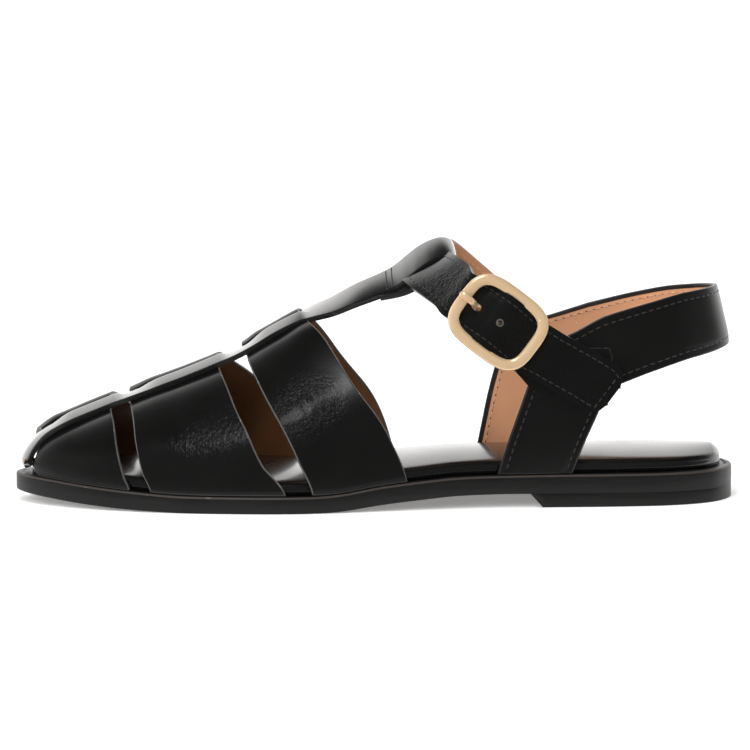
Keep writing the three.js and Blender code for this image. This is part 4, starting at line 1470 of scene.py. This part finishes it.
# ---------------------------------------------------------------- buckle and ankle strap
@dataclass
class Buckle:
    """The frame, its centre bar and the prong, in the buckle's own axes.

    Attributes:
        centre: Middle of the frame, in millimetres.
        half_run: Half the length of the frame's middle line along the strap.
        half_side: And half its width across it.
        power: Squareness of the frame.
        wide: Width of the frame's bar.
        thick: Its thickness.
        rod: Radius of the centre bar.
        centre_bar: The centre bar's middle, across the buckle and out of its face.
        tongue: The prong's middle from its hook to its tip, and its half sizes.
    """

    centre: Vector = field(default_factory=lambda: Last.at(88.7, 34.8, 67.6))
    half_run: float = 15.0
    half_side: float = 12.0
    power: float = 3.6
    wide: float = 4.1
    thick: float = 2.6
    rod: float = 0.9
    centre_bar: Table = field(default_factory=lambda: Table(
        "u z", (-12.4, -0.8), (-11.6, -1.3), (-10.9, -2), (-10.1, -2.5), (-9, -2.6), (9, -2.6),
        (10.1, -2.5), (10.9, -2), (11.6, -1.3), (12.4, -0.8)))
    tongue: Table = field(default_factory=lambda: Table(
        "x z wide thick",
        (-1.15, -3.7, 0.95, 0.42), (-1.55, -2.6, 0.95, 0.42), (-1.1, -1.5, 0.95, 0.42),
        (0, -1.06, 0.95, 0.42), (1.6, -1.3, 0.95, 0.45), (3.3, -2, 0.95, 0.5),
        (5, -3.1, 0.98, 0.55), (6.6, -4.1, 1, 0.58), (8.2, -4.35, 1.05, 0.6),
        (9.4, -3.4, 1.1, 0.66), (10.1, -1.8, 1.15, 0.72), (10.7, 0, 1.2, 0.78),
        (11.6, 1.7, 1.22, 0.82), (13, 2.65, 1.25, 0.86), (14.6, 2.85, 1.25, 0.86),
        (16.2, 2.5, 1.15, 0.78), (17.3, 1.8, 0.75, 0.5)))

    def __post_init__(self) -> None:
        """Sets the buckle's axes."""
        self.face = Vector((0, 0.98, 0.2)).normalized()
        self.run = Vector((0.8, -0.1225, 0.6)).normalized()
        self.side = -self.face.cross(self.run)

    def at(self, x: float, u: float, z: float) -> Vector:
        """A point: x along the strap to the instep, u across it and z out of the face."""
        return self.centre + self.run * x + self.side * u + self.face * z

    def frame(self) -> bpy.types.Object:
        """The frame: a bowed square ring, its bar domed in front and flatter behind."""
        def middle(u: float) -> Vector:
            """A point of the frame's middle line."""
            angle = 2 * math.pi * u
            c, s = math.cos(angle), math.sin(angle)
            return self.at(self.half_run * squared(c, 2 / self.power),
                           self.half_side * squared(s, 2 / self.power), 0)

        def place(u: float, v: float) -> Vector:
            """A point of the skin."""
            u %= 1.0
            ahead = middle((u + 0.002) % 1.0) - middle((u - 0.002) % 1.0)
            out = ahead.cross(self.face).normalized()
            angle = 2 * math.pi * v
            c, s = math.cos(angle), math.sin(angle)
            flat = 0.5 if s > 0 else 0.42
            return (middle(u) + out * (self.wide / 2) * squared(c, 0.8)
                    + self.face * (self.thick * flat * squared(s, 0.8)))

        ring = Sweep("buckle_ring", place, 144, 24, (Finish.GOLD,)).mesh()

        def bar(u: float, v: float) -> Vector:
            """A point of the centre bar's skin."""
            n = u * self.centre_bar.last()
            end = smooth(0, 0.02, u) * smooth(1, 0.98, u)
            angle = 2 * math.pi * v
            mid = self.at(0, self.centre_bar.read("u", n, "n"), self.centre_bar.read("z", n, "n"))
            round_it = self.run * math.cos(angle) + self.face * math.sin(angle)
            return mid + round_it * self.rod * end

        across = Sweep("buckle_bar", bar, 40, 16, (Finish.GOLD,)).mesh()
        data = bpy.data.meshes.new("buckle_bar")
        across.to_mesh(data)
        across.free()
        ring.from_mesh(data)
        bpy.data.meshes.remove(data)
        return report(settle(ring, "buckle_ring", (Finish.GOLD,)), "buckle_frame", "buckle_frame")

    def prong(self) -> bpy.types.Object:
        """The prong: hooked round the bar, up through the strap and over the frame."""
        rows, last = self.tongue, float(self.tongue.last())

        def middle(n: float) -> Vector:
            """A point of the prong's middle line."""
            return self.at(rows.read("x", n, "n"), 0, rows.read("z", n, "n"))

        def place(u: float, v: float) -> Vector:
            """A point of the skin."""
            n = u * last
            run = (middle(min(n + 0.05, last)) - middle(max(n - 0.05, 0))).normalized()
            up = run.cross(self.side).normalized()
            end = math.sqrt(smooth(-0.001, 0.02, u)) * math.sqrt(smooth(1.001, 0.97, u))
            if u <= 0 or u >= 1:
                end = 0.0
            angle = 2 * math.pi * v
            c, s = math.cos(angle), math.sin(angle)
            wide, thick = rows.read("wide", n, "n"), rows.read("thick", n, "n")
            return middle(n) + end * (
                self.side * wide * squared(c, 0.7) + up * thick * squared(s, 0.7))

        return report(Sweep("buckle_tongue", place, 90, 20, (Finish.GOLD,)).build(),
                      "buckle_prong", "buckle_prong")


@dataclass
class AnkleStrap:
    """The ankle strap, its punched holes, and the tab that holds the buckle.

    Attributes:
        buckle: The buckle that they pass through.
        thick: Thickness of the strap.
        half: Half its width.
        corner: Radius of its tip's corners.
        tab_thick: Thickness of the tab.
        upright: Lean that turns the buckle's side direction into a vertical plane.
        slot: The prong's slot: where it lies along the buckle, its length and width, and the
            cutter's height and depth.
        tab_slot: And the tab's, which the prong's hook passes through.
        hole: Place and radius of the spare hole.
        tail: The strap's middle from its tip to the buckle: station, y and height.
        through: And in the buckle: along it and out of its face.
        over: And on over the instep: station, y, height, and the direction across.
        tab: The tab's middle in the buckle's axes, its half width and its lean.
    """

    buckle: Buckle
    thick: float = 1.8
    half: float = 10.0
    corner: float = 6.0
    tab_thick: float = 1.0
    upright: float = 0.162
    slot: tuple[float, ...] = (9.6, 3.6, 2.6, -1.5, 8)
    tab_slot: tuple[float, ...] = (0.2, 5.4, 2.4, -1.6, 5)
    hole: tuple[float, float] = (-0.6, 0.9)
    tail: tuple[tuple[float, ...], ...] = (
        (47.2, 33.1, 40.6), (52, 33.4, 44), (58, 34.1, 47.8), (66, 34.9, 52.4), (72, 34.9, 55.8))
    through: tuple[tuple[float, float], ...] = (
        (-14, -2.7), (-12, -2.7), (-9, -2.4), (-6, -1.1), (-3, 0.3), (0, 0.75), (3, 0.3),
        (6, -1.1), (9, -2.4), (12, -2.8), (14.5, -3.3), (17.5, -5.8))
    over: tuple[tuple[float, ...], ...] = (
        (104.2, 22, 79.4, -0.68, -0.14, 0.72), (109.2, 12, 82.7, -0.8, -0.08, 0.58),
        (111.8, 4, 84.0, -0.86, -0.04, 0.51), (112.1, -3, 84.8, -0.86, -0.02, 0.51),
        (111.8, -10, 87.3, -0.86, 0.02, 0.51), (108.6, -17, 86, -0.8, 0.1, 0.6),
        (102, -24, 80.4, -0.68, 0.15, 0.72), (93, -28.8, 72.4, -0.6, 0.1, 0.79),
        (83, -30.9, 64, -0.6, 0.04, 0.8), (75, -31.5, 57.6, -0.6, 0, 0.8),
        (64, -31.8, 49.4, -0.6, 0, 0.8))
    tab: tuple[tuple[float, ...], ...] = (
        (-31, -3.2, -6.3, 3.4, 0.162), (-30.2, -3.2, -6.2, 6, 0.162),
        (-28, -3, -5.8, 8.2, 0.162), (-24, -2.4, -5.1, 9, 0.15), (-18, -1.4, -4.38, 9, 0.1),
        (-13, -0.6, -4.5, 9, 0), (-6, 0, -4.4, 9, 0), (-2.4, 0, -4.35, 9, 0), (0, 0, -4.2, 9, 0),
        (1.15, 0, -3.75, 9, 0), (1.6, 0, -2.6, 9, 0), (1.13, 0, -1.47, 9, 0), (0, 0, -1, 9, 0),
        (-1.3, 0, -1.35, 9, 0), (-2.9, 0, -2.5, 9, 0), (-4.2, 0, -2.9, 9, 0))

    @staticmethod
    def _rows(rows: Sequence[tuple[Vector, Vector, float]]) -> Table:
        """A path by distance along it, from points, directions across and half widths."""
        gone, lines = 0.0, []
        for k, (point, across, half) in enumerate(rows):
            gone += (point - rows[k - 1][0]).length if k else 0.0
            lines.append((gone, *point, *across, half))
        return Table("d x y z ax ay az half", *lines)

    def leaning(self, lean: float) -> Vector:
        """The direction across the strap where it leans off the buckle's face."""
        return (self.buckle.side + self.buckle.face * lean).normalized()

    def strap_path(self) -> Table:
        """The middle of the strap, from the tip of its tail to the inner quarter."""
        rows = [(Last.at(s, y, z), self.leaning(self.upright), self.half) for s, y, z in self.tail]
        rows += [(self.buckle.at(x, 0, z), self.buckle.side,
                  self.half + 0.4 - 1.1 * smooth(9, 16, x)) for x, z in self.through]
        rows += [(Last.at(s, y, z), Vector(a).normalized(), self.half - 0.5 * smooth(8, 22, y))
                 for s, y, z, *a in self.over]
        return self._rows(rows)

    def tab_path(self) -> Table:
        """The middle of the tab, from its tip to its end round the bar."""
        return self._rows([(self.buckle.at(x, u, z), self.leaning(lean), half)
                           for x, u, z, half, lean in self.tab])

    def ribbon(self, name: str, path: Table, thick: float, finishes: Sequence[Finish],
               corner: float = 0.0, channel: float = 0.0) -> Pattern:
        """A ribbon along a path.

        Args:
            name: The piece's name.
            path: Its middle, direction across and half width.
            thick: Its thickness; the path is the middle of it.
            finishes: Its finishes.
            corner: Radius of the corners of its tip.
            channel: Depth of its stitch channels.

        Returns:
            The pattern piece.
        """
        end = path.columns["d"][-1]

        def place(u: float, v: float) -> Vector:
            """A point of the ribbon's middle surface."""
            d = u * end
            mid = Vector([path.read(c, d) for c in "xyz"])
            across = Vector([path.read("a" + c, d) for c in "xyz"]).normalized()
            return mid + across * self.half_at(path, d, corner) * (2 * v - 1)

        def outward(u: float, v: float) -> Vector:
            """Out of the ribbon's face."""
            d = u * end
            low, high = max(d - 0.3, 0), min(d + 0.3, end)
            run = Vector([path.read(c, high) - path.read(c, low) for c in "xyz"])
            across = Vector([path.read("a" + c, d) for c in "xyz"])
            return across.cross(run)

        def lift(u: float, v: float) -> float:
            """Half its thickness, with its stitch channels."""
            return thick / 2 - channel * (bump(v, 0.13, 0.06) + bump(v, 0.87, 0.06))

        return Pattern(name, place, end, 2 * self.half, thick, outward, finishes, lift,
                       pitch=0.75, edge=0.6)

    @staticmethod
    def half_at(path: Table, d: float, corner: float) -> float:
        """Half a ribbon's width at a distance along it, drawn in round its tip's corners."""
        short = corner - min(d, corner)
        return path.read("half", d) - corner + math.sqrt(max(corner ** 2 - short ** 2, 0.0))

    def punch(self, piece: bpy.types.Object, cutters: Sequence[bmesh.types.BMesh]) -> None:
        """Cuts holes through a piece, keeping its thickness and rounding its new edges.

        Args:
            piece: The piece, whose thickness is still a modifier.
            cutters: Closed shapes in millimetres, which are freed.
        """
        tools = []
        for number, cutter in enumerate(cutters):
            data = bpy.data.meshes.new("cutter")
            bmesh.ops.scale(cutter, vec=(MM, MM, MM), verts=cutter.verts)
            bmesh.ops.recalc_face_normals(cutter, faces=cutter.faces)
            cutter.to_mesh(data)
            cutter.free()
            data.materials.append(Finish.EDGE.material())
            tool = bpy.data.objects.new("cutter", data)
            bpy.context.scene.collection.objects.link(tool)
            cut = piece.modifiers.new(f"punched_{number}", "BOOLEAN")
            cut.operation = "DIFFERENCE"
            cut.solver = "EXACT"
            cut.material_mode = "TRANSFER"
            cut.object = tool
            piece.modifiers.move(len(piece.modifiers) - 1, 1 + number)
            tools.append(tool)
        graph = bpy.context.evaluated_depsgraph_get()
        flat = bpy.data.meshes.new_from_object(piece.evaluated_get(graph))
        piece.modifiers.clear()
        piece.data = flat
        for tool in tools:
            bpy.data.objects.remove(tool)

    def square_at(self, x: float, z: float) -> Matrix:
        """Axes square to the buckle's face, from a point in front of it."""
        axes = Matrix((self.buckle.run, -self.buckle.side, self.buckle.face)).transposed().to_4x4()
        return Matrix.Translation(self.buckle.at(x, 0, z)) @ axes

    def round_cutter(self, x: float, radius: float) -> bmesh.types.BMesh:
        """A round cutter square to the buckle's face."""
        cutter = bmesh.new()
        bmesh.ops.create_cone(cutter, cap_ends=True, segments=28, radius1=radius, radius2=radius,
                              depth=9, matrix=self.square_at(x, -0.5))
        return cutter

    def slot_cutter(self, x: float, long: float, wide: float, z: float,
                    deep: float) -> bmesh.types.BMesh:
        """A long cutter with rounded ends, square to the buckle's face."""
        cutter = bmesh.new()
        bmesh.ops.create_cube(cutter, size=1.0, matrix=self.square_at(x, z) @ Matrix.Diagonal(
            (long, wide, deep, 1)))
        face = self.buckle.face
        upright = [e for e in cutter.edges
                   if abs((e.verts[0].co - e.verts[1].co).normalized().dot(face)) > 0.9]
        bmesh.ops.bevel(cutter, geom=upright, offset=wide * 0.42, segments=5, profile=0.5,
                        affect="EDGES", material=-1)
        return cutter

    def rim(self) -> bpy.types.Object:
        """The pressed ring round the spare hole."""
        middle, radius = self.hole
        arch = Table("x z", *self.through)

        def place(u: float, v: float) -> Vector:
            """A point of the ring's skin."""
            a, b = 2 * math.pi * u, 2 * math.pi * v
            reach = radius + 0.25 + 0.3 * math.cos(b)
            x = middle + reach * math.cos(a)
            face = arch.read("z", x) + self.thick / 2
            return self.buckle.at(x, reach * math.sin(a), face + 0.26 * math.sin(b) + 0.02)

        # The ring's grey is a painted highlight.
        ring = Sweep("hole_ring", place, 40, 12, (Finish.BAND_EDGE,)).build()
        return report(ring, "ankle_strap")

    def build(self) -> None:
        """Builds the strap, its tab and their stitches."""
        path, tab_path = self.strap_path(), self.tab_path()
        black = (Finish.STRAP, Finish.LINING, Finish.EDGE)
        strap = self.ribbon("ankle_strap_leather", path, self.thick, black, self.corner, 0.1)
        piece = strap.build()
        self.punch(piece, (self.round_cutter(*self.hole), self.slot_cutter(*self.slot)))
        report(piece, "ankle_strap", "ankle_strap")
        self.rim()
        tab_piece = self.ribbon("buckle_tab_leather", tab_path, self.tab_thick,
                                (Finish.STRAP, Finish.STRAP, Finish.EDGE)).build()
        self.punch(tab_piece, (self.slot_cutter(*self.tab_slot),))
        report(tab_piece, "buckle_tab", "buckle_tab")
        self.stitches(strap, path)

    def stitches(self, strap: Pattern, path: Table) -> None:
        """Stitches along both edges of the strap and round its tip, on both faces."""
        end = path.columns["d"][-1]
        inset, tip, step = 2.4, 3.0, 4.0
        rows = math.floor((end - tip) / step)

        def edge(row: int, sign: int) -> tuple[float, float]:
            """The (u, v) of a row's place along an edge."""
            d = tip + step * row
            return d / end, 0.5 + sign * 0.5 * (1 - inset / self.half_at(path, d, self.corner))

        shown = Seam("strap_stitches", Finish.THREAD, pitch=2.7, long=2.1, wide=0.55)
        hidden = Seam("strap_lining_stitches", Finish.TAN_THREAD, pitch=2.7, long=1.7, wide=0.45)
        upper = [edge(row, 1) for row in range(rows)]
        lower = [edge(row, -1) for row in range(rows)]
        for seam, sink in ((shown, 0.02), (hidden, self.thick - 0.02)):
            seam.sew(strap, upper[::-1] + lower, sink)
            report(seam.build(), "ankle_strap")


# ---------------------------------------------------------------- studio
def stand(name: str, data: bpy.types.Light, place: Vector, aim: Vector) -> bpy.types.Object:
    """Puts a light at a place, turned to a point."""
    light = bpy.data.objects.new(name, data)
    light.location = place
    light.rotation_euler = (aim - place).to_track_quat("-Z", "Y").to_euler()
    bpy.context.scene.collection.objects.link(light)
    return light


def heading(turn: float, rise: float) -> Vector:
    """A direction by its turn from the shoe's outer side to its toe, and its rise, in degrees."""
    a, b = math.radians(turn), math.radians(rise)
    return Vector((math.sin(a) * math.cos(b), math.cos(a) * math.cos(b), math.sin(b)))


@dataclass(frozen=True)
class Softbox:
    """A square soft light that shows in the leather's gloss.

    Attributes:
        name: Its name.
        turn: Its direction round the shoe, in degrees.
        rise: Its height, in degrees.
        far: Its distance, in metres.
        size: Its width and height.
        power: Its power in watts.
    """

    name: str
    turn: float
    rise: float
    far: float
    size: tuple[float, float]
    power: float

    def build(self) -> None:
        """Adds the light."""
        data = bpy.data.lights.new(self.name, "AREA")
        data.shape = "RECTANGLE"
        data.size, data.size_y = self.size
        data.energy = self.power
        middle = Vector((0.0, 0.0, 0.04))
        stand(self.name, data, middle + heading(self.turn, self.rise) * self.far, middle)


@dataclass(frozen=True)
class Wash:
    """Wide even light from one side, too soft to show in any gloss.

    Attributes:
        name: Its name.
        turn: Its direction round the shoe, in degrees.
        rise: Its height, in degrees.
        spread: How wide it is, in degrees.
        strength: Its strength in watts a square metre.
    """

    name: str
    turn: float
    rise: float
    spread: float
    strength: float

    def build(self) -> None:
        """Adds the light."""
        data = bpy.data.lights.new(self.name, "SUN")
        data.angle = math.radians(self.spread)
        data.energy = self.strength
        light = stand(self.name, data, heading(self.turn, self.rise) * 3.0, Vector((0, 0, 0)))
        light.visible_glossy = False


def stage(mesh: bmesh.types.BMesh, name: str, cloth: Cloth) -> bpy.types.Object:
    """Turns a mesh in metres, which is freed, into a piece of the studio."""
    data = bpy.data.meshes.new(name)
    mesh.to_mesh(data)
    mesh.free()
    data.materials.append(cloth.make())
    sheet = bpy.data.objects.new(name, data)
    bpy.context.scene.collection.objects.link(sheet)
    return sheet


@dataclass
class Studio:
    """The floor, the lights and the camera.

    Attributes:
        target: The point that the camera looks at, in metres.
        far: Its distance.
        turn: How far it stands round to the toe's side, in degrees.
        rise: Its height over the horizon, in degrees.
        lens: Its focal length on a 36 mm sensor.
        floor_half: Half the floor's width.
        flag_half: Half the black card's width.
        flag_rows: The card's rows, from the shoe outwards and up: y and z.
        lights: The lights.
    """

    target: tuple[float, float, float] = (0.0, 0.0, 0.04475)
    far: float = 1.6
    turn: float = 3.0
    rise: float = 6.8
    lens: float = 210.18
    floor_half: float = 20.0
    flag_half: float = 0.9
    flag_rows: tuple[tuple[float, float], ...] = ((0.07, 0.001), (0.5, 0.001), (0.5, 0.5))
    lights: tuple[Softbox | Wash, ...] = (
        Softbox("key", 20.0, 59.0, 1.4, (0.28, 0.28), 5.2),
        Wash("overhead", 0.0, 75.0, 110.0, 1.6),
        Wash("front", 34.0, 20.0, 45.0, 2.0))

    def camera(self) -> None:
        """Adds the camera."""
        toward = heading(self.turn, self.rise)
        data = bpy.data.cameras.new("camera")
        data.lens = self.lens
        data.sensor_width = 36.0
        data.clip_start, data.clip_end = 0.05, 60.0
        camera = bpy.data.objects.new("camera", data)
        camera.location = Vector(self.target) + toward * self.far
        camera.rotation_euler = (-toward).to_track_quat("-Z", "Y").to_euler()
        bpy.context.scene.collection.objects.link(camera)
        bpy.context.scene.camera = camera

    def floor(self) -> None:
        """Adds the floor."""
        sheet = bmesh.new()
        bmesh.ops.create_grid(sheet, x_segments=8, y_segments=8, size=self.floor_half)
        stage(sheet, "floor", Cloth("studio_paper", glow=0.24, grey=0.94))

    def flag(self) -> None:
        """Adds a black card, down on the floor and up, that only the shoe's gloss shows."""
        card = bmesh.new()
        bmesh.ops.create_grid(card, x_segments=1, y_segments=2, size=1.0)
        for vertex in card.verts:
            y, z = self.flag_rows[round(vertex.co.y) + 1]
            vertex.co = (vertex.co.x * self.flag_half, y, z)
        flag = stage(card, "flag", Cloth("flag_cloth", glow=0.2, grey=0.012))
        flag.visible_camera = flag.visible_diffuse = flag.visible_shadow = False

    def sky(self) -> None:
        """The room: a long bright wall behind the shoe, dimmer ones at its ends, a dark front."""
        world = bpy.data.worlds.new("studio")
        world.use_nodes = True
        room = Nodes(world.node_tree)
        way = room.node("ShaderNodeTexCoord", {}, {}, "Generated")
        x, y, z = (room.node("ShaderNodeSeparateXYZ", {}, {0: way}, axis) for axis in "XYZ")
        low = 1 - room.step(z, 0.62, 0.82)
        wall = room.step(0 - y, 0.2, 0.72) * low
        ends = (room.step(x, 0.45, 0.9) * 0.5 + room.step(0 - x, 0.7, 0.98) * 0.3) * low
        top = room.step(z, 0.9, 0.99) * 0.12
        level = wall * 1.7 + ends + top + 0.03
        glow = room.node("ShaderNodeBackground", {},
                         {"Color": (1, 0.99, 0.98, 1), "Strength": level})
        room.close(glow, "ShaderNodeOutputWorld")
        bpy.context.scene.world = world

    def build(self) -> None:
        """Builds the studio."""
        bpy.context.scene.view_settings.view_transform = "Standard"
        self.camera()
        self.floor()
        self.flag()
        self.sky()
        for light in self.lights:
            light.build()


def main() -> None:
    """Builds the studio and the sandal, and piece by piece."""
    logging.basicConfig(level=logging.INFO, format="%(message)s")
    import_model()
    last, ankle, buckle = Last(), Ankle(), Buckle()
    Studio().build()
    Sole(last).build()
    WovenUpper(last).build()
    HeelStraps(ankle).build()
    buckle.frame()
    buckle.prong()
    AnkleStrap(buckle).build()


if __name__ == "__main__":
    main()
